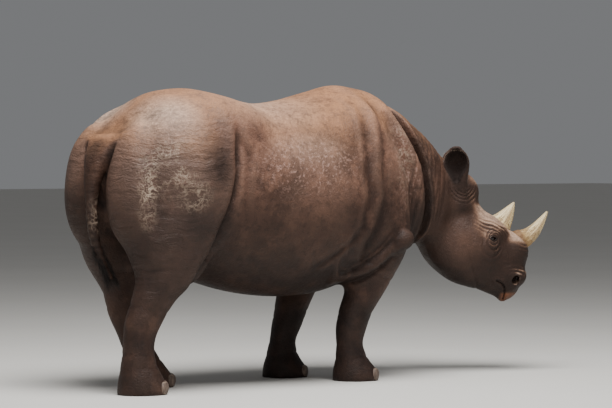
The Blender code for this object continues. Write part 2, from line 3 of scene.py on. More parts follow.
import math
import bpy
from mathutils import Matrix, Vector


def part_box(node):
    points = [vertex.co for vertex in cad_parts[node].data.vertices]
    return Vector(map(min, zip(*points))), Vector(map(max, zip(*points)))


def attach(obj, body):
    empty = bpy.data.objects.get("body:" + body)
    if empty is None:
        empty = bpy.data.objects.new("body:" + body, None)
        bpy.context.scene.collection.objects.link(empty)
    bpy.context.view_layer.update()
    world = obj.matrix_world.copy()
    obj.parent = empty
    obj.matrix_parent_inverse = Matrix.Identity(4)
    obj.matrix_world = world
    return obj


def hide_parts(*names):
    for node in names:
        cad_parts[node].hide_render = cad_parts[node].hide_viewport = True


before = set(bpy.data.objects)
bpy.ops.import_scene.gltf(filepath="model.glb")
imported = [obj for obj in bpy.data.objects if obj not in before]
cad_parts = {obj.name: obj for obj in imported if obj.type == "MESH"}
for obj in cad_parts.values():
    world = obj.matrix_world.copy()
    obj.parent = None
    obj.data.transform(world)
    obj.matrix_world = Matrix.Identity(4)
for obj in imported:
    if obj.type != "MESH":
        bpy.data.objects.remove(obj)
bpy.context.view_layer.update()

from concurrent.futures import ThreadPoolExecutor

import bmesh
import bpy
import numpy as np
import openvdb
from mathutils import Matrix, Vector


# ---- Hide ----
# The animal's skin: hide up to 5 cm thick, grey-brown under dried earth, that hangs in folds over the flanks.
# It is one closed piece over all the flesh. Rounded masses for the muscles and bones are blended into one
# another, and folds, lids, nostrils and lips are pressed into them.

HEAD_AT = Vector((0.928, -0.209, 0.724))
HEAD_MIDDLE = np.array(HEAD_AT) + (-0.07, 0.03, 0.05)
HEAD_TURN = math.radians(-28)
EYE_PLACE = Vector((-0.036, 0.1185, 0))
EYE_RADIUS = 0.021
RUMP_X, SHOULDER_X, SHOULDER_Z = -1.43, 0.27, 1.08
HOCK_Z, WRIST_Z = 0.40, 0.345
INSET = 0.0008


def head_place(point):
    """Place of a point in the head's frame: X towards the nose, Y to the head's left, Z up."""
    return HEAD_AT + Matrix.Rotation(HEAD_TURN, 3, "Z") @ Vector(point)


def middle_of(node):
    """Middle of a solid's box."""
    low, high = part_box(node)
    return (low + high) / 2


# The masses are placed from a mark under the withers. ORIGIN is where that mark stands in the frame: it is
# found from the eyes, whose middles the frame gives.
ORIGIN = (middle_of("eye_left") + middle_of("eye_right")) / 2 - head_place((EYE_PLACE.x, 0, EYE_PLACE.z))


def blend(first, second, reach):
    """Union of two masses with a fillet about as wide as reach."""
    share = np.clip(0.5 + 0.5 * (second - first) / reach, 0, 1)
    return second + (first - second) * share - reach * share * (1 - share)


def carve(body, tool, reach):
    """The body without the tool, its rim rounded by reach."""
    return -blend(-body, tool, reach)


def egg(points, centre, radii, lean=0.0, turn=0.0):
    """Ellipsoid. lean tips its front end down, and turn swings it to the left, both in degrees."""
    axes = Matrix.Rotation(math.radians(turn), 3, "Z") @ Matrix.Rotation(math.radians(lean), 3, "Y")
    local = (points - np.array(centre)) @ np.array(axes)
    radii = np.array(radii)
    near = np.sqrt(((local / radii) ** 2).sum(-1))
    slope = np.sqrt(((local / radii**2) ** 2).sum(-1)) + 1e-9
    return near * (near - 1) / slope


def along(places, stations, column):
    """A column of the stations at the given places, on a smooth curve through them."""
    knots, values = stations[:, 0], stations[:, column]
    widths = np.diff(knots)
    slopes = np.diff(values) / widths
    tangents = np.concatenate((slopes[:1], slopes, slopes[-1:]))
    before, after = np.append(widths[0], widths), np.append(widths, widths[-1])
    tangents = (tangents[:-1] * after + tangents[1:] * before) / (before + after)
    places = np.clip(places, knots[0], knots[-1])
    index = np.clip(np.searchsorted(knots, places) - 1, 0, len(widths) - 1)
    width = widths[index]
    part = (places - knots[index]) / width
    start, end = values[index], values[index + 1]
    rise = end - start
    lead, tail = tangents[index] * width - rise, rise - tangents[index + 1] * width
    return start + part * rise + part * (1 - part) * ((1 - part) * lead + part * tail)


def limb(length, across, height, stations, caps, squareness=2.0):
    """Mass along one direction, with rounded ends as long as caps.

    Each station: place, middle, half width, top, bottom and height of the widest place."""
    stations = np.array(stations)
    middle, half, top, bottom, widest = (along(length, stations, column) for column in range(1, 6))
    reach = np.where(height > widest, top - widest, widest - bottom)
    first, last = stations[0, 0], stations[-1, 0]
    beyond = np.where(length < first, (first - length) / caps[0], np.maximum(length - last, 0) / caps[1])
    cap = np.where(length < first, caps[0], caps[1])
    side, rise = np.abs(across - middle) / half, np.abs(height - widest) / reach
    near = (side**squareness + rise**squareness + beyond**squareness) ** (1 / squareness)
    size = np.sqrt(side**2 + rise**2 + beyond**2) + 1e-9
    slope = np.sqrt((side / half) ** 2 + (rise / reach) ** 2 + (beyond / cap) ** 2) + 1e-9
    return (near - 1) * size / slope


def mirrored(points):
    """The same points with both flanks folded onto the left one."""
    folded = points.copy()
    folded[..., 1] = np.abs(folded[..., 1])
    return folded


def trunk_clay(points):
    """Barrel from the rump to the front of the shoulders, with a saddle back and a hanging belly."""
    stations = (
        (RUMP_X, 0, 0.22, 1.235, 0.90, 1.09),
        (-1.35, 0, 0.31, 1.360, 0.82, 1.10),
        (-1.24, 0, 0.365, 1.450, 0.74, 1.10),
        (-1.02, 0, 0.41, 1.512, 0.58, 1.06),
        (-0.80, 0, 0.44, 1.478, 0.50, 1.00),
        (-0.58, 0, 0.470, 1.440, 0.455, 0.96),
        (-0.35, 0, 0.480, 1.462, 0.442, 0.93),
        (-0.15, 0, 0.450, 1.510, 0.465, 0.94),
        (0.00, 0, 0.41, 1.540, 0.520, 0.97),
        (0.13, 0, 0.36, 1.498, 0.580, 1.02),
        (SHOULDER_X, 0, 0.30, 1.400, 0.650, SHOULDER_Z),
    )
    barrel = limb(points[..., 0], points[..., 1], points[..., 2], stations, (0.04, 0.12), 2.15)
    folded = mirrored(points)
    hip = egg(folded, (-0.98, 0.24, 1.31), (0.22, 0.14, 0.12), lean=-6, turn=12)
    buttock = egg(folded, (-1.402, 0.185, 1.05), (0.130, 0.155, 0.29), lean=8)
    hamstring = egg(folded, (-1.345, 0.195, 0.80), (0.12, 0.125, 0.25), lean=-14)
    body = blend(blend(barrel, hip, 0.14), blend(buttock, hamstring, 0.10), 0.08)
    blade = egg(folded, (-0.02, 0.25, 1.06), (0.19, 0.130, 0.34), lean=-12)
    cleft = egg(points, (-1.53, 0, 0.93), (0.085, 0.060, 0.25))
    return blend(carve(body, cleft, 0.06), blade, 0.12)


def thigh_clay(points):
    """Thigh: a broad oval that overlaps the flank, its front edge sharply creased."""
    folded = mirrored(points)
    upper = egg(folded, (-1.155, 0.25, 1.08), (0.275, 0.215, 0.335), lean=-6)
    lower = egg(folded, (-1.215, 0.235, 0.78), (0.20, 0.155, 0.26), lean=10)
    return blend(upper, lower, 0.10)


def neck_frame(points):
    """Places along, across and above the neck's axis, which runs from between the shoulders to the poll."""
    start, end = np.array((0.00, 0.0, 1.08)), np.array((0.61, -0.10, 0.93))
    forward = (end - start) / np.linalg.norm(end - start)
    left = np.cross((0, 0, 1), forward)
    left /= np.linalg.norm(left)
    local = points - start
    return local @ forward, local @ left, local @ np.cross(forward, left)


def neck_clay(points):
    """Short heavy neck, creased across where the skin gathers behind the jaw."""
    length, across, height = neck_frame(points)
    stations = (
        (0.05, 0, 0.34, 0.435, -0.44, 0.02),
        (0.15, 0, 0.32, 0.415, -0.42, 0.02),
        (0.26, 0, 0.29, 0.392, -0.38, 0.01),
        (0.38, 0, 0.255, 0.355, -0.33, 0.00),
        (0.50, 0, 0.205, 0.302, -0.285, -0.04),
        (0.60, 0, 0.150, 0.238, -0.23, -0.06),
    )
    return limb(length, across, height, stations, (0.10, 0.09))


def head_frame(points):
    """Points seen from between the eyes: +X towards the nose, +Y to the head's left, +Z up."""
    return (points - np.array(HEAD_AT)) @ np.array(Matrix.Rotation(HEAD_TURN, 3, "Z"))


FACE_SLOPE = math.radians(42)


def face_frame(points):
    """Head points leant so that +X runs down the face and +Z stands up from it."""
    return head_frame(points) @ np.array(Matrix.Rotation(FACE_SLOPE, 3, "Y"))


def head_clay(points):
    """Deep wedge of a head with bony brows and cheeks, a nasal boss and a hooked upper lip."""
    face = face_frame(points)
    stations = (
        (-0.36, 0, 0.125, 0.070, -0.28, -0.07),
        (-0.22, 0, 0.145, 0.083, -0.33, -0.09),
        (-0.10, 0, 0.150, 0.076, -0.342, -0.10),
        (0.00, 0, 0.143, 0.077, -0.325, -0.11),
        (0.07, 0, 0.122, 0.086, -0.293, -0.11),
        (0.13, 0, 0.105, 0.088, -0.262, -0.11),
        (0.19, 0, 0.092, 0.058, -0.240, -0.11),
        (0.25, 0, 0.072, -0.010, -0.215, -0.12),
    )
    head = limb(face[..., 0], face[..., 1], face[..., 2], stations, (0.08, 0.025))
    folded = mirrored(face)
    masses = (
        ((-0.075, 0.095, -0.095), (0.140, 0.065, 0.055), 6, 0.06),
        ((-0.16, 0.075, -0.190), (0.130, 0.075, 0.130), 0, 0.06),
        ((-0.060, 0.078, 0.022), (0.075, 0.050, 0.040), -6, 0.05),
        ((-0.300, 0.092, -0.010), (0.080, 0.062, 0.068), 0, 0.04),
        ((0.234, 0.045, -0.074), (0.045, 0.038, 0.045), 0, 0.04),
    )
    for centre, radii, lean, reach in masses:
        head = blend(head, egg(folded, centre, radii, lean), reach)
    front_boss = egg(face, (0.130, 0, 0.045), (0.080, 0.082, 0.058), lean=14)
    rear_boss = egg(face, (-0.028, 0, 0.055), (0.080, 0.074, 0.036))
    crown = egg(face, (-0.310, 0, 0.062), (0.115, 0.085, 0.105))
    lip = egg(face, (0.253, 0, -0.157), (0.042, 0.042, 0.059), lean=12)
    head = blend(blend(blend(head, front_boss, 0.05), rear_boss, 0.04), crown, 0.04)
    return blend(head, lip, 0.04)


def tube(x, y, z, ahead, aside, cap):
    """Distance to a tube whose places are given in parts of its two radii and of its end's length."""
    near = np.sqrt(x**2 + y**2 + z**2)
    slope = np.sqrt((x / ahead) ** 2 + (y / aside) ** 2 + (z / cap) ** 2) + 1e-9
    return near * (near - 1) / slope


LEG_CAP = 0.2
KNEE_BEND_Z = 0.28
KNEE_BEND_REACH = 0.13


def leg_clay(points, foot, hip, knee, stations):
    """Leg that leans from over its foot to over its hip at the top, with its middle bent ahead by knee.

    Each station: height, fore-and-aft middle and radius, outward middle and radius."""
    stations = np.array(stations)
    height = points[..., 2]
    lean = np.clip(height / stations[-1, 0], 0, 1)
    lean = lean * lean * (3 - 2 * lean)
    forward, ahead, outward, aside = (along(height, stations, column) for column in range(1, 5))
    side = np.sign(hip[1])
    bent = knee * np.exp(-(((height - KNEE_BEND_Z) / KNEE_BEND_REACH) ** 2))
    x = points[..., 0] - foot[0] - (hip[0] - foot[0]) * lean - forward - bent
    y = (points[..., 1] - foot[1] - (hip[1] - foot[1]) * lean) * side - outward
    beyond = np.maximum(height - stations[-1, 0], 0)
    return tube(x / ahead, y / aside, beyond / LEG_CAP, ahead, aside, LEG_CAP)


HIND_STATIONS = (
    (-0.05, 0.012, 0.126, 0.0, 0.112),
    (0.045, 0.012, 0.126, 0.0, 0.112),
    (0.11, -0.002, 0.102, 0.0, 0.097),
    (0.19, -0.012, 0.082, 0.0, 0.080),
    (0.27, -0.008, 0.082, 0.0, 0.076),
    (HOCK_Z - 0.04, 0.016, 0.101, 0.005, 0.082),
    (0.46, 0.066, 0.118, 0.012, 0.096),
    (0.60, 0.150, 0.170, 0.025, 0.120),
    (0.76, 0.190, 0.215, 0.035, 0.140),
)
FORE_STATIONS = (
    (-0.05, 0.000, 0.118, 0.0, 0.112),
    (0.045, 0.000, 0.118, 0.0, 0.112),
    (0.11, -0.022, 0.090, 0.0, 0.086),
    (0.19, -0.042, 0.071, 0.0, 0.070),
    (0.27, -0.038, 0.082, 0.0, 0.078),
    (WRIST_Z + 0.01, -0.016, 0.092, 0.0, 0.086),
    (0.46, 0.028, 0.110, 0.010, 0.098),
    (0.60, 0.065, 0.145, 0.030, 0.118),
    (0.74, 0.085, 0.160, 0.055, 0.120),
)
LEGS = {
    "leg_hind_right": ((-1.383, -0.20), (-1.375, -0.20), 0, HIND_STATIONS),
    "leg_hind_left": ((-1.108, 0.13), (-1.355, 0.20), 0, HIND_STATIONS),
    "leg_fore_right": ((-0.027, -0.20), (-0.010, -0.23), 0, FORE_STATIONS),
    "leg_fore_left": ((-0.184, 0.20), (-0.070, 0.23), 0.026, FORE_STATIONS),
}


TAIL_Y, TAIL_CAP = -0.008, 0.03


def tail_middle(height):
    """Where the hanging tail's axis is at a height: it springs from the rump and tucks in at its end."""
    stations = np.array((
        (0.50, -1.400),
        (0.60, -1.450),
        (0.74, -1.515),
        (0.92, -1.540),
        (1.08, -1.522),
        (1.19, -1.472),
        (1.26, -1.385),
        (1.32, -1.285),
        (1.40, -1.160),
    ))
    return along(height, stations, 1)


def tail_clay(points):
    """Tail: a tapering cord of flesh, deepest where it leaves the rump."""
    stations = np.array((
        (0.58, 0.021, 0.019),
        (0.80, 0.028, 0.026),
        (0.97, 0.034, 0.032),
        (1.06, 0.046, 0.053),
        (1.13, 0.058, 0.078),
        (1.19, 0.070, 0.096),
        (1.26, 0.075, 0.095),
        (1.32, 0.060, 0.085),
        (1.40, 0.040, 0.060),
    ))
    height = points[..., 2]
    ahead, aside = along(height, stations, 1), along(height, stations, 2)
    beyond = np.maximum(np.maximum(stations[0, 0] - height, height - stations[-1, 0]), 0)
    x, y, z = points[..., 0] - tail_middle(height), points[..., 1] - TAIL_Y, beyond
    return tube(x / ahead, y / aside, z / TAIL_CAP, ahead, aside, TAIL_CAP)


def body_clay(points):
    """The whole animal in flesh, without its ears."""
    body = blend(trunk_clay(points), thigh_clay(points), 0.035)
    folded = mirrored(points)
    arm = egg(folded, (0.08, 0.265, 0.82), (0.19, 0.125, 0.22), lean=20)
    elbow = egg(folded, (-0.10, 0.24, 0.68), (0.12, 0.10, 0.15), lean=-25)
    body = blend(blend(body, neck_clay(points), 0.09), blend(arm, elbow, 0.08), 0.07)
    knob = egg(points, (0.140, -0.406, 0.735), (0.046, 0.044, 0.046))
    body = blend(body, knob, 0.015)
    body = blend(body, head_clay(points), 0.07)
    for foot, hip, knee, stations in LEGS.values():
        body = blend(body, leg_clay(points, foot, hip, knee, stations), 0.07)
    reach = 0.012 + 0.09 * np.clip((points[..., 2] - 1.08) / 0.16, 0, 1)
    return blend(body, tail_clay(points), reach)


EAR_ROOT = Vector((-0.222, 0.108, 0.205))
EAR_SPLAY = math.radians(12)
EAR_PRICK = {-1: math.radians(0), 1: math.radians(15)}
EAR_TURN = math.radians(18)


def ear_axes(side):
    """Ear's place: +X across it towards the nose, +Y out of its cup, +Z from its root to its tip."""
    back = Matrix.Rotation(side * EAR_TURN, 4, "Z")
    prick = Matrix.Rotation(EAR_PRICK[side], 4, "Y")
    turn = Matrix.Rotation(HEAD_TURN, 4, "Z")
    root = Vector((EAR_ROOT.x, side * EAR_ROOT.y, EAR_ROOT.z))
    splay = Matrix.Rotation(-side * EAR_SPLAY, 4, "X")
    facing = Matrix.Diagonal((1, side, 1, 1))
    return Matrix.Translation(HEAD_AT) @ turn @ Matrix.Translation(root) @ back @ prick @ splay @ facing


def ear_clay(points):
    """Trumpet of an ear in its own axes, without its hollow: a broad root and a round tip."""
    stations = (
        (-0.03, -0.014, 0.074, 0.044, -0.044, 0),
        (0.06, -0.013, 0.067, 0.038, -0.038, 0),
        (0.12, -0.009, 0.066, 0.036, -0.038, 0),
        (0.17, -0.003, 0.069, 0.032, -0.034, 0),
        (0.22, 0, 0.067, 0.026, -0.030, 0),
        (0.258, 0, 0.052, 0.016, -0.024, 0),
        (0.286, 0, 0.028, 0.008, -0.014, 0),
    )
    return limb(points[..., 2], points[..., 0], points[..., 1], stations, (0.02, 0.012))


def ear_hollow(points):
    """The cup of an ear in its own axes, open outwards and narrowing to a dark throat."""
    stations = (
        (0.122, 0, 0.014, 0.050, 0.000, 0.030),
        (0.148, 0, 0.030, 0.080, -0.020, 0.032),
        (0.178, 0, 0.050, 0.085, -0.026, 0.030),
        (0.220, 0, 0.061, 0.080, -0.022, 0.028),
        (0.258, 0, 0.045, 0.060, -0.014, 0.028),
        (0.277, 0, 0.021, 0.050, -0.003, 0.030),
    )
    return limb(points[..., 2], points[..., 0], points[..., 1], stations, (0.015, 0.008))


def fold_line(points, line, fade, profile):
    """Height of a fold that runs down both flanks, positive where it dips.

    line: heights and places along the body. fade: how far its ends run out.
    profile: shift forwards, depth and width of each wave across the fold."""
    heights, places = np.array(line).T
    order = np.argsort(heights)
    heights, places = heights[order], places[order]
    slope = np.interp(points[..., 2], heights, np.gradient(places, heights))
    offset = (points[..., 0] - np.interp(points[..., 2], heights, places)) / np.sqrt(1 + slope**2)
    over = np.maximum(heights[0] - points[..., 2], points[..., 2] - heights[-1])
    aside = np.clip((np.abs(points[..., 1]) - 0.04) / 0.20, 0, 1)
    shown = np.exp(-((np.maximum(over, 0) / fade) ** 2)) * aside * aside * (3 - 2 * aside)
    depth = sum(wave * np.exp(-(((offset - shift) / width) ** 2)) for shift, wave, width in profile)
    return shown * depth


# Folds of the flanks, from their tops down: height and place along the body.
THIGH_EDGE = (
    (1.225, -0.942), (1.096, -0.945), (0.973, -0.968),
    (0.816, -1.010), (0.692, -1.060), (0.628, -1.112), (0.557, -1.140),
)
FLANK_FOLD = ((1.274, -0.944), (1.180, -0.878), (1.023, -0.904))
HIP_HOLLOW = ((1.450, -1.31), (1.330, -1.300), (1.250, -1.285), (1.180, -1.26))
SHOULDER_FOLD = ((1.409, 0.117), (1.270, 0.179), (1.111, 0.258), (0.921, 0.305), (0.772, 0.318))
BLADE_FOLD = ((1.372, -0.026), (1.070, -0.071), (0.970, -0.053), (0.820, -0.091), (0.710, -0.150))
BEHIND_ELBOW = ((0.750, -0.215), (0.680, -0.310), (0.600, -0.420))
FLANK_FOLDS = (
    (THIGH_EDGE, 0.07, ((0, 0.015, 0.017), (-0.050, -0.008, 0.036), (0.045, -0.003, 0.020))),
    (FLANK_FOLD, 0.08, ((0, 0.004, 0.016), (0.040, -0.004, 0.026))),
    (HIP_HOLLOW, 0.10, ((0, 0.004, 0.060),)),
    (BEHIND_ELBOW, 0.05, ((0, 0.007, 0.014), (0.030, -0.005, 0.020))),
    (SHOULDER_FOLD, 0.08, ((0.018, -0.024, 0.036), (0.099, 0.048, 0.019), (0.134, -0.011, 0.014),
                           (0.160, 0.009, 0.011), (-0.070, 0.007, 0.030), (-0.125, -0.004, 0.022))),
    (BLADE_FOLD, 0.08, ((0, -0.011, 0.030), (-0.060, 0.008, 0.026), (0.055, 0.007, 0.022),
                        (-0.110, -0.004, 0.022))),
)

# Creases that ring the legs: the leg, height, forward tilt, depth and width.
LEG_CREASES = (
    ("leg_hind", 0.605, 0.10, 0.006, 0.012), ("leg_hind", 0.430, -0.20, 0.004, 0.010),
    ("leg_hind", 0.395, -0.10, 0.003, 0.009), ("leg_hind", 0.200, 0.05, 0.0025, 0.009),
    ("leg_hind", 0.132, 0.15, 0.005, 0.011),
    ("leg_fore", 0.615, -0.35, 0.007, 0.013), ("leg_fore", 0.565, -0.30, 0.005, 0.012),
    ("leg_fore", 0.350, 0.00, 0.003, 0.010), ("leg_fore", 0.312, -0.05, 0.0025, 0.009),
    ("leg_fore", 0.185, 0.05, 0.0025, 0.009), ("leg_fore", 0.125, 0.15, 0.005, 0.010),
)


# Lower edge of the loose skin that hangs over each elbow: place along the body and height.
ELBOW_EDGE = np.array((
    (-0.300, 0.560), (-0.260, 0.515), (-0.205, 0.497), (-0.105, 0.520), (-0.010, 0.578), (0.070, 0.650),
))


def elbow_folds(points):
    """Depth of the crease under the loose skin over each elbow, and of the swell and creases above it."""
    ahead, height = points[..., 0], points[..., 2]
    slope = (along(ahead + 0.01, ELBOW_EDGE, 1) - along(ahead - 0.01, ELBOW_EDGE, 1)) / 0.02
    above = (height - along(ahead, ELBOW_EDGE, 1)) / np.sqrt(1 + slope**2)
    shown = np.exp(-(((ahead + 0.10) / 0.19) ** 6)) * np.clip((np.abs(points[..., 1]) - 0.16) / 0.10, 0, 1)
    waves = ((-0.002, 0.014, 0.013), (0.034, -0.012, 0.025), (0.074, 0.007, 0.010), (0.104, 0.006, 0.010))
    return shown * sum(deep * np.exp(-(((above - place) / width) ** 2)) for place, deep, width in waves)


TOES = (56, 0, -56)


def leg_creases(points):
    """Depth of the creases that ring the legs at the joints, and of the furrows between the toes."""
    depth = np.zeros(points.shape[:-1])
    for name, (foot, *_) in LEGS.items():
        aside = points[..., 1] - foot[1]
        ahead = points[..., 0] - foot[0]
        near = np.exp(-((ahead / 0.26) ** 6)) * np.exp(-((aside / 0.20) ** 6))
        for group, height, tilt, deep, width in LEG_CREASES:
            if name.startswith(group):
                wave = 0.006 * np.sin(ahead * 40 + aside * 31 + height * 90)
                offset = points[..., 2] - height - tilt * ahead - wave
                uneven = 0.6 + 0.4 * np.sin(ahead * 23 - aside * 17 + height * 50)
                depth += near * uneven * deep * np.exp(-((offset / width) ** 2))
        # The sole spreads into three toes, with a furrow between each two.
        turned = np.arctan2(aside * -np.sign(foot[1]), ahead)
        low = near * np.exp(-((points[..., 2] / 0.075) ** 4))
        for toe in TOES:
            depth -= low * 0.005 * np.exp(-(((turned - math.radians(toe)) / 0.36) ** 2))
        for furrow in (-28, 28):
            depth += low * 0.005 * np.exp(-(((turned - math.radians(furrow)) / 0.10) ** 2))
    return depth


# Height, how far out from the tail's middle the groove runs, and how much of its depth it has.
TAIL_GROOVE = np.array((
    (0.88, 0.040, 0.0), (1.00, 0.055, 0.8), (1.10, 0.084, 1.0), (1.18, 0.112, 1.0), (1.25, 0.130, 0.0),
))


def tail_creases(points):
    """Depth of the level creases that ring the tail, and of the groove beside each side of its root."""
    height = points[..., 2]
    near = np.exp(-(((points[..., 0] - tail_middle(height)) / 0.10) ** 4))
    near = near * np.exp(-(((points[..., 1] - TAIL_Y) / 0.09) ** 4)) * np.clip((height - 0.55) / 0.1, 0, 1)
    wave = np.sin(math.tau * (height + 0.10 * np.abs(points[..., 1] - TAIL_Y)) / 0.034 + 3 * points[..., 1])
    shown = np.clip(1.3 - height, 0.2, 1) * np.clip((1.27 - height) / 0.05, 0, 1)
    rings = near * 0.0030 * shown * (wave - 0.3)
    # The groove between each side of the tail's root and the rump.
    beside = np.abs(points[..., 1] - TAIL_Y) - along(height, TAIL_GROOVE, 1)
    behind = np.clip((-1.36 - points[..., 0]) / 0.04, 0, 1)
    return rings + 0.020 * behind * along(height, TAIL_GROOVE, 2) * np.exp(-((beside / 0.016) ** 2))


def neck_folds(points):
    """Depth of the creases across the neck where its skin gathers behind the jaw."""
    length, across, height = neck_frame(points)
    depth = np.zeros(length.shape)
    gathers = (
        (0.300, 0.006, 0.011), (0.330, 0.008, 0.012), (0.362, 0.006, 0.010), (0.396, 0.009, 0.013),
        (0.432, 0.006, 0.010), (0.466, 0.009, 0.013), (0.500, 0.006, 0.010), (0.532, 0.007, 0.011),
        (0.560, 0.006, 0.010),
    )
    for place, deep, width in gathers:
        bow = place + 0.25 * height**2 - 0.05 * height + 0.005 * np.sin(4 * across + 9 * height + 40 * place)
        uneven = 0.75 + 0.25 * np.sin(7 * height + 90 * place)
        depth += uneven * deep * np.exp(-(((length - bow) / width) ** 2))
    return depth * np.clip(1.4 - 2.5 * height, 0, 1) * np.clip((0.42 - np.abs(across)) / 0.1, 0, 1)


def ear_local(points, side):
    """Points in the axes of one ear."""
    axes = ear_axes(side)
    return (points - np.array(axes.translation)) @ np.array(axes.to_3x3())


EYE_FACING = math.radians(12)


def eye_local(points, side):
    """Points seen from an eyeball's middle: forwards along the face, outwards and up."""
    seen = head_frame(points)
    ahead, out, up = seen[..., 0] - EYE_PLACE.x, side * seen[..., 1] - EYE_PLACE.y, seen[..., 2] - EYE_PLACE.z
    turn = (math.cos(EYE_FACING), math.sin(EYE_FACING))
    return ahead * turn[0] - out * turn[1], ahead * turn[1] + out * turn[0], up


def eye_opening(ahead, up):
    """Distance outside the almond of the open lids, whose front corner is a little the lower."""
    up = up + 0.10 * ahead
    above = np.sqrt(ahead**2 + (up + 0.0120) ** 2) - 0.0205
    below = np.sqrt(ahead**2 + (up - 0.0140) ** 2) - 0.0215
    return np.maximum(above, below)


def eye_clay(points, head, side):
    """The head with one eye's orbit, ring wrinkles, lids and the pit that its ball lies in."""
    ahead, out, up = eye_local(points, side)
    away = np.sqrt(ahead**2 + up**2)
    shown = np.clip((out + 0.06) / 0.03, 0, 1)
    under = np.clip((0.006 - up) / 0.04, 0, 1)
    rings = 0
    # Two bags hang under the eye, each from a lower middle, and fine lines run over it.
    for back, drop, radius, deep, width in (
        (0.001, 0.004, 0.031, 0.0036, 0.0045), (0.003, 0.017, 0.042, 0.0052, 0.0060),
        (0.000, 0.011, 0.037, -0.0026, 0.0080), (-0.008, 0.036, 0.060, 0.0050, 0.0075),
        (-0.004, 0.026, 0.051, -0.0030, 0.0090), (-0.010, 0.046, 0.080, 0.0022, 0.0080),
    ):
        rings = rings + under * deep * np.exp(-(((np.hypot(ahead - back, up + drop) - radius) / width) ** 2))
    for back, rise, radius, deep in (
        (0.004, 0.002, 0.030, 0.0022), (0.010, 0.002, 0.040, 0.0020), (0.016, 0.000, 0.051, 0.0018),
        (0.024, -0.004, 0.064, 0.0017), (0.034, -0.010, 0.080, 0.0015),
    ):
        wave = 0.0015 * np.sin(90 * ahead + 400 * radius)
        bowed = np.hypot(ahead - back, 1.15 * (up - rise)) - radius + wave
        rings = rings + (1 - under) * deep * np.exp(-((bowed / 0.0030) ** 2))
    uneven = 0.80 + 0.20 * np.sin(2 * np.arctan2(up, ahead) + 30 * away)
    mound = -0.010 * np.exp(-((away / 0.052) ** 4))
    head = head + shown * (rings * uneven + mound)
    ball = np.sqrt(ahead**2 + out**2 + up**2)
    lids = np.maximum(ball - (EYE_RADIUS + 0.0045), -out)
    head = blend(head, lids, 0.010)
    opening = eye_opening(ahead, up)
    head = head + shown * 0.0022 * np.exp(-(((opening - 0.0085) / 0.0022) ** 2)) * (out > 0)
    pit = np.maximum(np.maximum(opening, (EYE_RADIUS - 0.0012) - ball), -out)
    return carve(head, pit, 0.0025)


# The line of the mouth from its corner to the lip's tip: how far along it, and its place ahead and up.
MOUTH = np.array((
    (0.00, 0.002, -0.231), (0.20, 0.018, -0.239), (0.40, 0.034, -0.249), (0.55, 0.045, -0.261),
    (0.70, 0.050, -0.277), (0.85, 0.051, -0.300), (1.00, 0.050, -0.330),
))
MOUTH_RUN = np.linspace(0, 1, 18)
MOUTH_LINE = np.stack((along(MOUTH_RUN, MOUTH, 1), along(MOUTH_RUN, MOUTH, 2)), -1)


def mouth_crease(points):
    """Distance from the line between the lips, in the head's own upright plane."""
    seen = head_frame(points)
    flat = np.stack((seen[..., 0], seen[..., 2]), -1)
    nearest = np.full(flat.shape[:-1], 9.0)
    for start, end in zip(MOUTH_LINE[:-1], MOUTH_LINE[1:]):
        run = end - start
        part = np.clip(((flat - start) @ run) / (run @ run), 0, 1)
        nearest = np.minimum(nearest, np.linalg.norm(flat - start - part[..., None] * run, axis=-1))
    return nearest


NOSTRIL = (0.113, 0.058, -0.221)


def nostril_slot(folded):
    """A nostril's round opening that trails down and back, on head points folded onto one side."""
    ahead, aside, up = NOSTRIL
    front = egg(folded, (ahead, aside + 0.018, up), (0.015, 0.026, 0.020), lean=20, turn=18)
    trail = egg(folded, (ahead - 0.010, aside + 0.020, up - 0.014), (0.011, 0.018, 0.016), lean=-35)
    return blend(front, trail, 0.020)


def head_details(points, head):
    """Nostrils, mouth, eyes and the wrinkles of the face, pressed into the head."""
    seen = head_frame(points)
    folded = mirrored(seen)
    p, q, side = seen[..., 0], seen[..., 2], np.abs(seen[..., 1])
    rim = egg(folded, NOSTRIL, (0.034, 0.034, 0.040), lean=20, turn=18)
    head = blend(head, rim, 0.012)
    head = carve(head, nostril_slot(folded), 0.008)
    slit = mouth_crease(points)
    head = head + 0.008 * np.exp(-((slit / 0.0036) ** 2)) - 0.004 * np.exp(-(((slit - 0.014) / 0.009) ** 2))
    # Arcs under the ear's root, folds behind the jaw and ripples on the muzzle.
    from_ear = np.sqrt((p + 0.187) ** 2 + (q - 0.300) ** 2)
    low = np.clip((0.285 - q) / 0.03, 0, 1) * np.clip((side - 0.03) / 0.03, 0, 1)
    for radius, deep in ((0.040, 0.0035), (0.055, 0.0050), (0.071, 0.0050), (0.088, 0.0045), (0.108, 0.0030)):
        wave = 0.0012 * np.sin(28 * p + 300 * radius)
        head = head + low * deep * np.exp(-(((from_ear - radius - wave) / 0.0048) ** 2))
    jowl = np.abs(p + 0.160 + 0.30 * (q + 0.12) - 0.9 * (q + 0.12) ** 2)
    head = head + 0.003 * np.exp(-((jowl / 0.010) ** 2)) * np.clip((0.06 - q) / 0.06, 0, 1)
    down_face = p * math.cos(FACE_SLOPE) - q * math.sin(FACE_SLOPE)
    muzzle = np.clip((down_face - 0.10) / 0.05, 0, 1) * np.clip((0.27 - down_face) / 0.04, 0, 1)
    waver = q + 0.10 * p + 0.006 * np.sin(45 * p) + 0.003 * np.sin(110 * q)
    ripples = np.sin(math.tau * waver / 0.023 + 3 * side)
    patchy = 0.5 + 0.5 * np.sin(31 * p + 47 * q)
    head = head + 0.0013 * muzzle * patchy * ripples * np.clip(side / 0.05, 0, 1)
    brow = np.exp(-((np.hypot((p + 0.03) / 0.09, (q - 0.075) / 0.035)) ** 2))
    head = head + 0.0011 * brow * np.sin(math.tau * (q + 0.4 * p + 0.004 * np.sin(60 * p)) / 0.021)
    for eye_side in (-1, 1):
        head = eye_clay(points, head, eye_side)
    return head


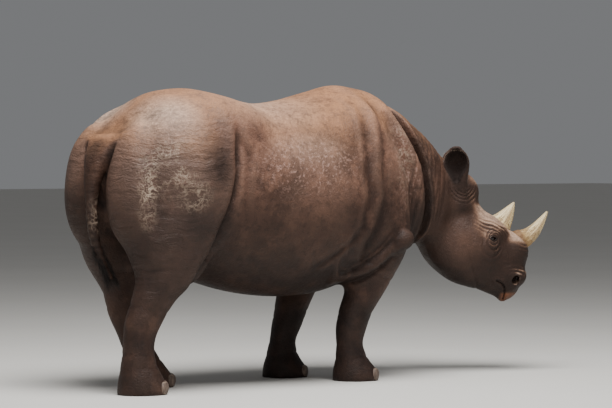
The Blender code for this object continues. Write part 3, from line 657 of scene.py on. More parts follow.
def hide_clay(points):
    """Distance to the finished hide, negative inside."""
    points = np.asarray(points, float)
    body = body_clay(points) + INSET
    body = body + sum(fold_line(points, *fold) for fold in FLANK_FOLDS)
    body = body + leg_creases(points) + elbow_folds(points) + neck_folds(points) + tail_creases(points)
    near = np.linalg.norm(points - HEAD_MIDDLE, axis=-1) < 0.62
    if near.any():
        close, head = points[near], body[near]
        for side in (-1, 1):
            head = blend(head, ear_clay(ear_local(close, side)), 0.022)
        for side in (-1, 1):
            head = carve(head, ear_hollow(ear_local(close, side)), 0.006)
        body[near] = head_details(close, head)
    return np.maximum(body, -points[..., 2])


# The hide is cast on a grid that is drawn together round the head, so that the face has cells under half the
# size of the flanks'. Only the cells near the surface are worked out.
DRAWN_TO = np.array(head_place((-0.06, 0, -0.02)))
DRAWN_SLOPE, DRAWN_REACH, DRAWN_EASE = 0.40, 0.95, 0.50
CELL = 0.0136
BLOCK = 8


def drawn(offsets):
    """World offsets from the head for offsets on the grid."""
    reach = np.linalg.norm(offsets, axis=-1, keepdims=True) + 1e-12
    over = np.maximum(reach - DRAWN_REACH, 0) / DRAWN_EASE
    gain = np.where(over < 1, DRAWN_EASE * over**2 / 2, DRAWN_EASE * (over - 0.5))
    return offsets * (DRAWN_SLOPE * reach + (1 - DRAWN_SLOPE) * gain) / reach


def shared_out(task, places, at_once):
    """What a task makes of the places, worked out by four workers on about so many at once."""
    with ThreadPoolExecutor(4) as workers:
        return list(workers.map(task, np.array_split(places, len(places) // at_once + 1)))


def cast_hide():
    """Points and four-sided faces of the hide, before its fine parts are divided further."""
    grid_reach = np.linspace(0, 4, 2001)
    world_reach = np.linalg.norm(drawn(np.stack((grid_reach, 0 * grid_reach, 0 * grid_reach), -1)), axis=-1)
    spans = (np.arange(-1.70, 1.35, 0.06), np.arange(-0.60, 0.61, 0.06), np.arange(-0.06, 1.63, 0.06))
    rough = np.stack(np.meshgrid(*spans, indexing="ij"), -1).reshape(-1, 3)
    offsets = rough[hide_clay(rough) < 0.07] - DRAWN_TO
    reach = np.linalg.norm(offsets, axis=-1, keepdims=True)
    offsets = offsets * np.interp(reach, world_reach, grid_reach) / reach
    low, high = offsets.min(0) - 0.05, offsets.max(0) + 0.05
    blocks = np.ceil((high - low) / (BLOCK * CELL)).astype(int)
    starts = np.stack(np.meshgrid(*(np.arange(count) for count in blocks), indexing="ij"), -1).reshape(-1, 3)
    starts = starts * BLOCK
    middles = drawn(low + (starts + BLOCK / 2) * CELL)
    half = np.linalg.norm(drawn(low + starts * CELL) - middles, axis=-1)
    depth = hide_clay(middles + DRAWN_TO)
    field = np.repeat(np.where(depth < 0, -1.0, 1.0)[:, None], BLOCK**3, axis=1)
    close = np.flatnonzero(np.abs(depth) < 1.35 * half + 0.03)
    inner = np.stack(np.meshgrid(*[np.arange(BLOCK)] * 3, indexing="ij"), -1).reshape(-1, 3)

    def fill(some):
        field[some] = hide_clay(drawn(low + (starts[some][:, None, :] + inner) * CELL) + DRAWN_TO)

    shared_out(fill, close, 60)
    field = field.reshape(*blocks, BLOCK, BLOCK, BLOCK).transpose(0, 3, 1, 4, 2, 5).reshape(*(blocks * BLOCK))
    grid = openvdb.FloatGrid(background=1.0)
    grid.copyFromArray(np.ascontiguousarray(field, np.float32))
    points, quads = grid.convertToQuads(isovalue=0.0)
    return drawn(low + points * CELL) + DRAWN_TO, quads


def settled(points, rounds):
    """Points moved straight onto the hide's surface."""
    step = 0.0008

    def move(some):
        for _ in range(rounds):
            depth = hide_clay(some)
            slope = np.stack([
                hide_clay(some + step * axis) - hide_clay(some - step * axis) for axis in np.eye(3)
            ], -1) / (2 * step)
            size = np.maximum((slope**2).sum(-1), 0.3)
            some = some - (np.clip(depth, -0.006, 0.006) / size)[:, None] * slope
        return some

    return np.concatenate(shared_out(move, points, 20000))


def divided(shape, chosen):
    """Splits the faces whose corners are all chosen into four."""
    edges = [edge for edge in shape.edges if chosen(edge.verts[0].co) and chosen(edge.verts[1].co)]
    bmesh.ops.subdivide_edges(shape, edges=edges, cuts=1, use_grid_fill=True)


points, quads = cast_hide()
shape = bmesh.new()
corners = [shape.verts.new(point) for point in settled(points, 1)]
for quad in quads:
    shape.faces.new([corners[index] for index in quad])
EYES = [head_place((EYE_PLACE.x, side * EYE_PLACE.y, EYE_PLACE.z)) for side in (-1, 1)]
NOSTRILS = [head_place((NOSTRIL[0], side * (NOSTRIL[1] + 0.012), NOSTRIL[2])) for side in (-1, 1)]
for eye_reach in (0.062, 0.036):
    divided(shape, lambda place: any((place - eye).length < eye_reach for eye in EYES))
for nostril_reach in (0.048, 0.034):
    divided(shape, lambda place: any((place - nostril).length < nostril_reach for nostril in NOSTRILS))
divided(shape, lambda place: mouth_crease(np.array([place]))[0] < 0.016)
divided(shape, lambda place: place.x < -1.36 and abs(place.y - TAIL_Y) < 0.10 and place.z > 0.56)
bmesh.ops.triangulate(shape, faces=shape.faces)
shape.normal_update()
hide_mesh = bpy.data.meshes.new("hide")
shape.to_mesh(hide_mesh)
shape.free()


def places_of(mesh):
    """The places of a mesh's points, as rows."""
    flat = np.empty(len(mesh.vertices) * 3)
    mesh.vertices.foreach_get("co", flat)
    return flat.reshape(-1, 3)


hide_mesh.vertices.foreach_set("co", settled(places_of(hide_mesh), 2).ravel())
hide = bpy.data.objects.new("hide", hide_mesh)
bpy.context.collection.objects.link(hide)

# Flat parts of the body are drawn with wider faces, which leaves the folds and the head their fine ones.
HIDE_TRIANGLES = 185000
if len(hide_mesh.polygons) > HIDE_TRIANGLES:
    body_points = hide.vertex_groups.new(name="body")
    away = np.linalg.norm(places_of(hide_mesh) - DRAWN_TO, axis=-1) > 0.50
    body_points.add(np.flatnonzero(away).tolist(), 1.0, "REPLACE")
    thin = hide.modifiers.new("thin", "DECIMATE")
    thin.vertex_group = "body"
    thin.ratio = HIDE_TRIANGLES / len(hide_mesh.polygons)
    hide.data = bpy.data.meshes.new_from_object(hide.evaluated_get(bpy.context.evaluated_depsgraph_get()))
    hide.modifiers.clear()
    hide.vertex_groups.clear()
    hide_mesh = hide.data

points = settled(places_of(hide_mesh), 1)
points[:, 2] = np.maximum(points[:, 2], 0)


def smooth_step(value, low, high):
    """0 below low and 1 above high, eased between."""
    part = np.clip((value - low) / (high - low), 0, 1)
    return part * part * (3 - 2 * part)


def neighbours_mean(values, edges, count):
    """For each point of a mesh, the mean of its neighbours' values."""
    summed = np.zeros((count,) + values.shape[1:])
    number = np.bincount(edges.ravel(), minlength=count)[:, None]
    for column in range(values.shape[1]):
        summed[:, column] = (
            np.bincount(edges[:, 0], values[edges[:, 1], column], count)
            + np.bincount(edges[:, 1], values[edges[:, 0], column], count)
        )
    return summed / np.maximum(number, 1)


edges = np.empty(len(hide_mesh.edges) * 2, np.int32)
hide_mesh.edges.foreach_get("vertices", edges)
edges = edges.reshape(-1, 2)
hide_mesh.vertices.foreach_set("co", points.ravel())
hide_mesh.update()
normals = np.empty(len(points) * 3)
hide_mesh.vertex_normals.foreach_get("vector", normals)
normals = normals.reshape(-1, 3)

# How deep each place lies in a crease, from how far its neighbourhood stands above it: it sets the painted
# shade in the creases and the painted highlight on the ridges.
sunk = 0.0
level = points
for _ in range(6):
    level = neighbours_mean(level, edges, len(points))
    sunk = sunk + ((level - points) * normals).sum(-1)
crease = smooth_step(sunk, 0.002, 0.022)
for _ in range(2):
    crease = 0.5 * crease + 0.5 * neighbours_mean(crease[:, None], edges, len(points))[:, 0]

# Dried earth lies on what faces up, most of all along the back, and in scuffed patches on the rump.
seen = head_frame(points)
x, y, z = points.T
p, q = seen[:, 0], seen[:, 2]
up_facing = normals[:, 2]
on_head = smooth_step(0.46 - np.linalg.norm(points - HEAD_MIDDLE, axis=-1), 0, 0.10)


def patch(centre, radii):
    """1 in the middle of an oval patch of the surface, falling to 0 at its edge."""
    away = np.sqrt((((points - np.array(centre)) / np.array(radii)) ** 2).sum(-1))
    return np.clip(1.2 - away, 0, 1)


def patches(ahead, aside, height, radii):
    """The same patch on both flanks."""
    return np.maximum(patch((ahead, -aside, height), radii), patch((ahead, aside, height), radii))


def spot(ahead, height, length, tall):
    """Soft oval on both sides of the head, in the head's own frame."""
    return np.exp(-(((p - ahead) / length) ** 2) - ((q - height) / tall) ** 2)


def beside_fold(line, shift, depth, width, fade=0.06):
    """Band that runs along a fold of the flanks."""
    return np.clip(fold_line(points, line, fade, ((shift, depth, width),)), 0, 1)


brows = on_head * smooth_step(up_facing, 0.18, 0.62) * smooth_step(p, -0.18, -0.08)
upward = smooth_step(up_facing, 0.15, 0.95) * smooth_step(z, 0.75, 1.25)
hips = patches(-1.19, 0.36, 1.26, (0.15, 0.16, 0.13))
dusted = np.maximum.reduce([0.95 * upward * (1 - 0.55 * on_head), brows, 0.75 * hips])

# Insides of the ears, darkened with painted shade, and bare wet skin round the eyes, in the nostrils and
# between the lips, darkened with painted shade in these openings.
inner, on_ear, orbit, near_eye = (np.zeros(len(points)) for _ in range(4))
for side in (-1, 1):
    local = ear_local(points, side)
    rise = local[:, 2]
    on_ear = np.maximum(on_ear, smooth_step(0.02 - ear_clay(local), 0, 0.02) * smooth_step(rise, 0.03, 0.09))
    # Painted shade inside the cup, down to its throat.
    in_cup = smooth_step(0.012 - np.abs(ear_hollow(local)), 0, 0.006) * smooth_step(rise, 0.085, 0.110)
    in_cup = in_cup * smooth_step(0.32 - rise, 0, 0.02) * (np.abs(local[:, 0]) < 0.07)
    inner = np.maximum(inner, in_cup)
    # Painted shade deep in the ear's throat, added to the painted shade of the creases.
    crease = np.maximum(crease, in_cup * smooth_step(0.225 - rise, 0, 0.06))
    ahead, out, up = eye_local(points, side)
    orbit = np.maximum(orbit, smooth_step(0.040 - np.hypot(ahead, up + 0.003), 0, 0.024) * (out > -0.02))
    near_eye = np.maximum(near_eye, smooth_step(0.0125 - eye_opening(ahead, up), 0, 0.010) * (out > 0))
in_nostril = smooth_step(0.004 - nostril_slot(mirrored(seen)), 0, 0.006) * on_head
in_mouth = smooth_step(0.0065 - mouth_crease(points), 0, 0.005) * on_head
nostril_rim = smooth_step(0.013 - np.abs(nostril_slot(mirrored(seen)) - 0.010), 0, 0.008)
nostril_rim = nostril_rim * (p > NOSTRIL[0]) * on_head
nose = smooth_step(p * math.cos(FACE_SLOPE) - q * math.sin(FACE_SLOPE), 0.13, 0.24) * on_head
lip = smooth_step(p, 0.020, 0.045) * smooth_step(-0.286 - q, 0, 0.022) * on_head

# Belly, legs, throat and the hollows beside the folds are the darkest.
legs = smooth_step(0.62 - z, 0, 0.30) * (1 - on_head)
gaskin = patches(-1.33, 0.28, 0.46, (0.16, 0.16, 0.20))
low_thigh = patches(-1.35, 0.38, 0.92, (0.11, 0.20, 0.13))
haunch = 0.95 * patches(-1.08, 0.43, 1.12, (0.12, 0.22, 0.17))
# Painted highlight where the light falls on the shoulders: they are made paler and less shaded.
shoulders = patches(0.19, 0.36, 1.14, (0.13, 0.20, 0.28))
pale_flank = np.maximum(
    patch((-0.52, -0.45, 1.12), (0.34, 0.30, 0.17)), patch((-0.50, 0.45, 1.12), (0.40, 0.30, 0.20))
)
neck_run, _, neck_rise = neck_frame(points)
on_neck = smooth_step(neck_run, 0.22, 0.34) * (1 - on_head)
fold_at = np.interp(z, *np.array(SHOULDER_FOLD)[::-1].T)
behind_fold = smooth_step(0.10 - (x - fold_at), 0, 0.04) * smooth_step(z, 0.72, 0.85)
cheek_relief = 0.12 * smooth_step(-0.02 - q, 0, 0.15) - 0.46 * spot(-0.19, -0.045, 0.10, 0.11)
tail_root = np.clip(1.2 - np.abs(y - TAIL_Y) / 0.13, 0, 1)
buttocks = smooth_step(-1.30 - x, 0, 0.16) * smooth_step(1.12 - z, 0, 0.20)
buttocks = buttocks * smooth_step(0.30 + y, 0.05, 0.22)
shaded = np.maximum.reduce([
    0.98 * smooth_step(-up_facing, 0.05, 0.75) * smooth_step(1.0 - z, 0, 0.35),
    0.85 * legs * (1 - 0.75 * gaskin),
    legs * smooth_step(x, -0.45, -0.30),
    0.78 * smooth_step(1.20 - z, 0, 0.45) * (1 - on_head) * (1 - 0.7 * pale_flank),
    0.80 * buttocks,
    haunch,
    on_neck * (0.52 + 0.48 * smooth_step(0.12 - neck_rise, 0, 0.25)) * (1 - behind_fold),
    0.9 * patches(0.17, 0.36, 0.84, (0.10, 0.20, 0.12)),
    beside_fold(SHOULDER_FOLD, 0.116, 1.3, 0.018) * smooth_step(1.30 - z, 0, 0.35),
    beside_fold(SHOULDER_FOLD, -0.085, 0.85, 0.050) * smooth_step(1.12 - z, 0, 0.3),
    beside_fold(THIGH_EDGE, 0.030, 0.9, 0.045, 0.05) * smooth_step(1.1 - z, 0, 0.3),
    0.80 * tail_root * smooth_step(-1.42 - x, 0, 0.05) * smooth_step(1.28 - z, 0, 0.06),
    on_head * (0.78 + cheek_relief) * (1 - 0.90 * brows),
    smooth_step(-0.155 - q, 0, 0.11) * on_head * (1 - nose),
    0.92 * on_head * spot(-0.20, 0.17, 0.10, 0.09),
    0.85 * on_head * spot(-0.225, 0.265, 0.075, 0.075),
    0.95 * on_head * spot(-0.21, -0.19, 0.13, 0.06),
    0.85 * on_ear,
    0.85 * orbit,
])
scuffed = np.maximum.reduce([
    patch((-1.30, -0.36, 1.12), (0.15, 0.16, 0.12)),
    patch((-1.30, 0.36, 1.12), (0.16, 0.16, 0.14)),
    patch((-1.42, -0.30, 1.00), (0.06, 0.16, 0.18)),
    patch((-1.22, -0.40, 0.98), (0.10, 0.14, 0.08)),
    patch((-1.10, 0.42, 1.20), (0.14, 0.16, 0.10)),
    0.7 * patch((-1.52, -0.03, 0.86), (0.06, 0.05, 0.12)),
    0.5 * patch((0.17, -0.36, 1.18), (0.08, 0.12, 0.25)),
])
back = 0.6 * patch((-0.62, 0, 1.44), (0.35, 0.6, 0.2))
chalky = np.maximum(patches(-1.27, 0.26, 1.36, (0.17, 0.24, 0.18)), back)

# Where the skin is stretched into long wrinkles: level ones on the thighs and tail, upright ones on the neck.
thigh = smooth_step(-0.94 - x, 0, 0.08) * smooth_step(z, 0.35, 0.55) * smooth_step(np.abs(y), 0.08, 0.16)
tail_part = smooth_step(-1.44 - x, 0, 0.05) * smooth_step(0.10 - np.abs(y - TAIL_Y), 0, 0.03)

MARKS = {
    # crease: painted shade in the creases and deep in the ears' throats.
    "crease": crease,
    # ridge: painted highlight on what stands above its neighbourhood.
    "ridge": smooth_step(-sunk, 0.002, 0.020),
    "dusted": dusted * (1 - 0.85 * on_ear),
    "shaded": shaded * (1 - 0.75 * lip) * (1 - 0.6 * shoulders) * (1 - 0.7 * low_thigh),
    "scuffed": scuffed * (1 - 0.8 * haunch),
    # pale: pale speckles, scratches and earth, and a painted highlight on the shoulders.
    "pale": np.maximum.reduce([pale_flank, shoulders, chalky, 0.8 * brows, 0.9 * nostril_rim]),
    "cup": inner,
    "muzzle": nose,
    "face": on_head,
    # Wet skin, darkened with painted shade in the openings of the eyes, nostrils and mouth.
    "moist_and_shade": np.maximum.reduce([near_eye, in_nostril, in_mouth]),
    "lip": lip,
    "thigh": thigh,
    "neck": on_neck,
    "tail": tail_part * smooth_step(z, 0.5, 0.6),
}
for mark, share in MARKS.items():
    numbers = hide_mesh.attributes.new(mark, "FLOAT", "POINT")
    numbers.data.foreach_set("value", np.clip(share, 0, 1).astype(np.float32))

hide_mesh.transform(Matrix.Translation(ORIGIN))
hide_mesh.polygons.foreach_set("use_smooth", [True] * len(hide_mesh.polygons))
hide_mesh.update()


def linear(hex_colour):
    """A colour written as sRGB hex, as the linear numbers that a shader takes."""
    parts = [int(hex_colour[place:place + 2], 16) / 255 for place in (1, 3, 5)]
    return (*[part / 12.92 if part <= 0.04045 else ((part + 0.055) / 1.055) ** 2.4 for part in parts], 1)


def add_node(tree, kind, inputs=(), gives="", **settings):
    """Adds a node with its own settings, and returns the named one of its outputs, or else the first in use.

    inputs: values, or the outputs that feed them, by name or in the order of the inputs in use."""
    made = tree.nodes.new(kind)
    for name, value in settings.items():
        setattr(made, name, value)
    if not isinstance(inputs, dict):
        inputs = dict(zip([place for place, socket in enumerate(made.inputs) if socket.enabled], inputs))
    for name, value in inputs.items():
        if isinstance(value, bpy.types.NodeSocket):
            tree.links.new(value, made.inputs[name])
        else:
            made.inputs[name].default_value = value
    return made.outputs[gives] if gives else next(socket for socket in made.outputs if socket.enabled)


def product(tree, *factors):
    """The factors multiplied. A row of a factor and two ranges is eased from the first range to the second."""
    made = None
    for factor in factors:
        if isinstance(factor, tuple):
            factor = add_node(tree, "ShaderNodeMapRange", factor, interpolation_type="SMOOTHSTEP")
        made = add_node(tree, "ShaderNodeMath", (made, factor), operation="MULTIPLY") if made else factor
    return made


def total(tree, *terms):
    """The terms added up, each a row of factors."""
    made = product(tree, *terms[0])
    for factors in terms[1:]:
        made = add_node(tree, "ShaderNodeMath", (made, product(tree, *factors)), operation="ADD")
    return made


def layered(tree, colour, *layers):
    """A colour with others laid over it, each a row of the colour and the factors of its share."""
    colour = linear(colour)
    for over, *factors in layers:
        over = linear(over) if isinstance(over, str) else over
        colour = add_node(tree, "ShaderNodeMix", (product(tree, *factors), colour, over), data_type="RGBA")
    return colour


def new_finish(name, colour, roughness, specular):
    """Material with the name of what it is, its node tree, its shader and the places on its piece."""
    material = bpy.data.materials.new(name)
    material.use_nodes = True
    material.diffuse_color = linear(colour)
    tree = material.node_tree
    shader = tree.nodes["Principled BSDF"]
    shader.inputs["Base Color"].default_value = linear(colour)
    shader.inputs["Roughness"].default_value = roughness
    shader.inputs["Specular IOR Level"].default_value = specular
    return material, tree, shader, add_node(tree, "ShaderNodeTexCoord", gives="Object")


def surfaced(tree, shader, colour, relief, rough=None):
    """Gives a shader its colour, its relief in metres and, where it varies, its roughness."""
    tree.links.new(colour, shader.inputs["Base Color"])
    bump = add_node(tree, "ShaderNodeBump", {"Height": relief, "Distance": 1.0})
    tree.links.new(bump, shader.inputs["Normal"])
    if rough:
        tree.links.new(rough, shader.inputs["Roughness"])


# Hide: matt with a dull sheen where it is stretched and worn. Red-brown under a film of tan earth, broken into
# plates a centimetre or two across by fine cracks; painted shade darkens its creases, hollows and underside,
# and painted highlights lighten its ridges and shoulders.
hide_finish, tree, shader, places = new_finish("creased rhinoceros hide", "#5f463b", 0.62, 0.24)
on = {mark: add_node(tree, "ShaderNodeAttribute", gives="Fac", attribute_name=mark) for mark in MARKS}
wander = add_node(tree, "ShaderNodeTexNoise", (places, 14.0, 2.0), gives="Color")
wander = add_node(tree, "ShaderNodeVectorMath", (wander, (0.5, 0.5, 0.5)), operation="SUBTRACT")
wander = add_node(tree, "ShaderNodeVectorMath", (wander, 0.05), operation="SCALE")
bent = add_node(tree, "ShaderNodeVectorMath", (places, wander), operation="ADD")

# Plates 17 mm and pebbles 8 mm across, by how far each place is from an edge, and clouds of 450 to 6 mm.
plate_edge, pebble_edge = (
    add_node(tree, "ShaderNodeTexVoronoi", {"Vector": bent, "Scale": 1 / size}, feature="DISTANCE_TO_EDGE")
    for size in (0.017, 0.008)
)
broad, blotches, speckle, fine, mottles = (
    add_node(tree, "ShaderNodeTexNoise", (where, 1 / size, detail, rough))
    for where, size, detail, rough in (
        (places, 0.45, 3.0, 0.55), (places, 0.12, 5.0, 0.62), (places, 0.018, 4.0, 0.70),
        (places, 0.006, 3.0, 0.6), (bent, 0.035, 4.0, 0.65),
    )
)
# Long wrinkles: level on the thighs and the tail, upright on the neck, sloping on the flanks.
drawn_out = (
    add_node(tree, "ShaderNodeMapping", {"Vector": bent, "Rotation": turn, "Scale": scale})
    for turn, scale in (
        ((0, 0.10, 0), (5.0, 5.0, 34.0)),
        ((0, 0.45, 0.2), (38.0, 6.0, 6.0)),
        ((0, -0.25, 0), (26.0, 8.0, 7.0)),
    )
)
level_wrinkles, neck_wrinkles, flank_wrinkles = (
    add_node(tree, "ShaderNodeTexNoise", (run, 1.0, 3.0, 0.55)) for run in drawn_out
)
# Film of earth, caught on the plates and missing from the cracks, and the thin curling lines of the scuffs.
film = product(
    tree, on["dusted"], (blotches, 0.25, 0.60, 0.55, 1.0), (speckle, 0.30, 0.60, 0.65, 1.0),
    (mottles, 0.34, 0.52, 0.62, 1.0),
)
curls = 0.0
for size, low, high, most in ((0.050, 0.012, 0.050, 1.0), (0.022, 0.010, 0.060, 0.8)):
    wave = add_node(tree, "ShaderNodeTexNoise", (bent, 1 / size, 2.0, 0.5))
    wave = add_node(tree, "ShaderNodeMath", (wave, 0.5), operation="SUBTRACT")
    wave = add_node(tree, "ShaderNodeMath", (wave,), operation="ABSOLUTE")
    line = product(tree, (wave, low, high, most, 0.0))
    curls = add_node(tree, "ShaderNodeMath", (curls, line), operation="MAXIMUM")
skin_colour = layered(
    tree, "#4b352b",
    ("#6e4f41", (broad, 0.38, 0.62)),
    ("#86614f", (blotches, 0.48, 0.66), 0.6),
    ("#38271f", (blotches, 0.46, 0.32), 0.6),
    ("#35241d", (mottles, 0.50, 0.36), 0.45),
    ("#5d4c45", on["thigh"], 0.55),
    ("#62493d", on["face"], 0.7),
    ("#4f3b31", on["muzzle"], 0.75),
    ("#9a6040", on["lip"], 0.8),
    ("#a8867a", (speckle, 0.51, 0.66), (on["pale"], 0.0, 0.8, 0.10, 0.70)),
    (layered(tree, "#a97852", ("#c9ac95", on["pale"])), film, 0.82),
    # Painted highlight on the ridges.
    ("#9c7c6a", on["ridge"], 0.16),
    ("#150d0a", on["shaded"], (blotches, 0.30, 0.70, 1.0, 0.90), 0.97),
    ("#b5a18d", on["scuffed"], curls, (blotches, 0.36, 0.56), 0.85),
    ("#3a2822", (plate_edge, 0.0, 0.22, 1.0, 0.0), 0.14),
    # Painted shade inside the ears' cups.
    ("#241914", on["cup"], 0.95),
    # Painted shade in the creases and deep in the ears' throats.
    ("#1d130f", on["crease"], 0.86),
    # Painted shade in the openings of the eyes, nostrils and mouth.
    ("#1d1412", on["moist_and_shade"], 0.90),
)
relief = total(
    tree,
    ((plate_edge, 0.0, 0.22), 0.0007), ((pebble_edge, 0.0, 0.30), 0.0003),
    (blotches, 0.0060), (speckle, 0.0015), (fine, 0.0004),
    (level_wrinkles, on["thigh"], 0.013), (level_wrinkles, on["tail"], 0.010),
    (neck_wrinkles, on["neck"], 0.005), (flank_wrinkles, 0.0030),
)
rough = total(tree, ((speckle, 0.3, 0.7, 0.50, 0.68),), (film, 0.12), (on["moist_and_shade"], -0.30), (on["cup"], 0.30))
surfaced(tree, shader, skin_colour, relief, rough)

hide.data.materials.clear()
hide.data.materials.append(hide_finish)
flesh = ["trunk", "neck", "head", "tail", "ear_left", "ear_right"]
flesh += [f"{leg}_{piece}" for leg in LEGS for piece in ("upper", "lower", "foot")]
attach(hide, "root")
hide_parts(*flesh)


# ---- Eyes ----
# Small dark eyeballs, wet over their whole front. Each is a ball that bulges a little at its cornea, with a
# brown iris round a dark pupil, and lies in the pit that the lids leave.


def join_loops(shape, loops):
    """Four-sided faces between each two loops of points."""
    for before, after in zip(loops[:-1], loops[1:]):
        for step in range(len(before)):
            follow = (step + 1) % len(before)
            shape.faces.new((before[step], before[follow], after[follow], after[step]))


def add_piece(name, shape, finish, node):
    """Piece with a closed, smooth shape, in place of a solid of the frame."""
    bmesh.ops.recalc_face_normals(shape, faces=shape.faces)
    for face in shape.faces:
        face.smooth = True
    mesh = bpy.data.meshes.new(name)
    shape.to_mesh(mesh)
    shape.free()
    mesh.materials.append(finish)
    piece = bpy.data.objects.new(name, mesh)
    bpy.context.collection.objects.link(piece)
    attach(piece, "root")
    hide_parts(node)


def eyeball(side):
    """Eyeball whose pole looks out between the lids."""
    rings, around, cornea, radius = 40, 48, 0.0006, EYE_RADIUS - 0.0004
    middle = head_place((EYE_PLACE.x, side * EYE_PLACE.y, EYE_PLACE.z)) + ORIGIN
    facing = Vector((math.sin(EYE_FACING), side * math.cos(EYE_FACING), 0))
    facing = Matrix.Rotation(HEAD_TURN, 3, "Z") @ facing
    level = facing.cross(Vector((0, 0, 1))).normalized()
    up = level.cross(facing)
    shape = bmesh.new()
    from_pole = shape.verts.layers.float.new("from_pole")
    loops = []
    for ring in range(1, rings):
        angle = math.pi * ring / rings
        bulge = cornea * max(0.0, 1 - (angle / 0.62) ** 2)
        loop = []
        for step in range(around):
            turn = math.tau * step / around
            across = (level * math.cos(turn) + up * math.sin(turn)) * math.sin(angle)
            vertex = shape.verts.new(middle + (facing * math.cos(angle) + across) * (radius + bulge))
            vertex[from_pole] = angle / math.pi
            loop.append(vertex)
        loops.append(loop)
    front = shape.verts.new(middle + facing * (radius + cornea))
    back = shape.verts.new(middle - facing * radius)
    back[from_pole] = 1.0
    join_loops(shape, loops)
    for step in range(around):
        follow = (step + 1) % around
        shape.faces.new((front, loops[0][follow], loops[0][step]))
        shape.faces.new((back, loops[-1][step], loops[-1][follow]))
    return shape


# Wet eye: near-black brown iris under a clear, sharp gloss.
eye_finish, tree, shader, places = new_finish("wet brown eye", "#1d120d", 0.08, 0.6)
shader.inputs["Coat Weight"].default_value = 1.0
shader.inputs["Coat Roughness"].default_value = 0.03
from_pole = add_node(tree, "ShaderNodeAttribute", gives="Fac", attribute_name="from_pole")
fibres = add_node(tree, "ShaderNodeTexNoise", (places, 1 / 0.0012, 3.0, 0.6))
eye_colour = layered(
    tree, "#2a1810", ("#4a2c1a", fibres), ("#050404", (from_pole, 0.075, 0.090, 1.0, 0.0)),
    ("#2b1c17", (from_pole, 0.185, 0.205)),
)
surfaced(tree, shader, eye_colour, product(tree, fibres, 0.00005))
for eye_name, eye_side in (("right", -1), ("left", 1)):
    add_piece(f"eyeball_{eye_name}", eyeball(eye_side), eye_finish, f"eye_{eye_name}")


# ---- Horns ----
# Two horns of solid keratin fibre with no bone inside, grown from the skin over the nose. They are cream and
# worn smooth, with tan base collars where the fibres fray, and fine grooves that run from base to tip.


def horn_shape(root, tilt, bend, length, half_length, half_width, fullness, clean):
    """Horn that rises from its root in the head's frame and curves back; tilt and bend are in degrees.

    clean: how far up the other horn its base looks to be, so that its base is paler."""
    rings, around, sunk = 70, 64, 0.030
    shape = bmesh.new()
    run, cosine, sine = (shape.verts.layers.float.new(name) for name in ("run", "cosine", "sine"))
    place = Vector(root)
    loops = []
    for ring in range(-3, rings + 1):
        part = max(ring, 0) / rings
        angle = math.radians(tilt + bend * (1 - max(0.0, 0.93 - part) ** 2))
        along_horn = Vector((math.cos(angle), 0, math.sin(angle)))
        ahead = Vector((math.sin(angle), 0, -math.cos(angle)))
        if ring > 0:
            place = place + along_horn * length / rings
        middle = place + along_horn * sunk * ring / 3 if ring < 0 else place
        collar = 1 + 0.05 * math.exp(-((part / 0.07) ** 2)) + 0.012 * math.sin(part * 55) * (1 - part)
        loop = []
        for step in range(around):
            turn = math.tau * step / around
            grooves = 0.012 * math.sin(11 * turn + 3 * part) + 0.010 * math.sin(23 * turn - 4 * part)
            offset = ahead * math.cos(turn) * half_length + Vector((0, math.sin(turn) * half_width, 0))
            size = (1 - 0.95 * part) ** fullness * collar * (1 + (1 - part) * grooves)
            vertex = shape.verts.new(head_place(middle + offset * size) + ORIGIN)
            vertex[run] = clean + (1 - clean) * part
            vertex[cosine], vertex[sine] = math.cos(turn), math.sin(turn)
            loop.append(vertex)
        loops.append(loop)
    tip = shape.verts.new(head_place(place + along_horn * 0.003) + ORIGIN)
    tip[run] = 1.0
    shape.faces.new(loops[0])
    join_loops(shape, loops)
    for step in range(around):
        shape.faces.new((loops[-1][step], loops[-1][(step + 1) % around], tip))
    return shape


# Horn: satin keratin, cream towards the tip and streaked with tan fibre and packed earth near the base.
horn_finish, tree, shader, places = new_finish("fibrous horn", "#c2b097", 0.45, 0.45)
run, cosine, sine = (
    add_node(tree, "ShaderNodeAttribute", gives="Fac", attribute_name=name)
    for name in ("run", "cosine", "sine")
)
round_horn = add_node(tree, "ShaderNodeCombineXYZ", (cosine, sine, product(tree, run, 0.22)))
strands, coarse, flecks = (
    add_node(tree, "ShaderNodeTexNoise", (
        add_node(tree, "ShaderNodeMapping", {"Vector": round_horn, "Scale": scale}), 1.0, detail, rough,
    ))
    for scale, detail, rough in (
        ((11.0, 11.0, 6.0), 4.0, 0.65), ((3.0, 3.0, 5.0), 3.0, 0.55), ((5.0, 5.0, 26.0), 4.0, 0.7),
    )
)
stains = add_node(tree, "ShaderNodeTexNoise", (places, 1 / 0.030, 4.0, 0.6))
fleck_share = product(tree, (flecks, 0.50, 0.60), (run, 0.95, 0.20, 0.10, 0.85))
horn_colour = layered(
    tree, "#c6ab78",
    ("#eedcb0", (strands, 0.35, 0.65)),
    ("#94703f", (run, 0.55, 0.05, 0.0, 0.85)),
    ("#8a6743", (coarse, 0.50, 0.68), 0.55),
    ("#7a5a38", fleck_share),
    ("#dccfb2", (stains, 0.55, 0.75), 0.3),
    ("#6e4d33", (run, 0.12, 0.0, 0.0, 0.75)),
)
relief = total(tree, (strands, 0.0036), (coarse, 0.0034), (fleck_share, -0.0012))
surfaced(tree, shader, horn_colour, relief, product(tree, (run, 0.0, 0.8, 0.68, 0.42)))
for horn_name, *sizes in (
    ("rear", (0.045, 0, 0.078), 48, 12, 0.135, 0.062, 0.046, 0.85, 0.40),
    ("front", (0.158, 0, -0.012), 12, 46, 0.215, 0.054, 0.052, 0.78, 0.0),
):
    add_piece(f"{horn_name}_horn", horn_shape(*sizes), horn_finish, f"horn_{horn_name}")


# ---- Nails ----
# Three broad hoof nails on each foot, plates of keratin that grow from a fold of skin round the toe and are
# worn level by the ground. They are brown-grey with a paler worn rim.


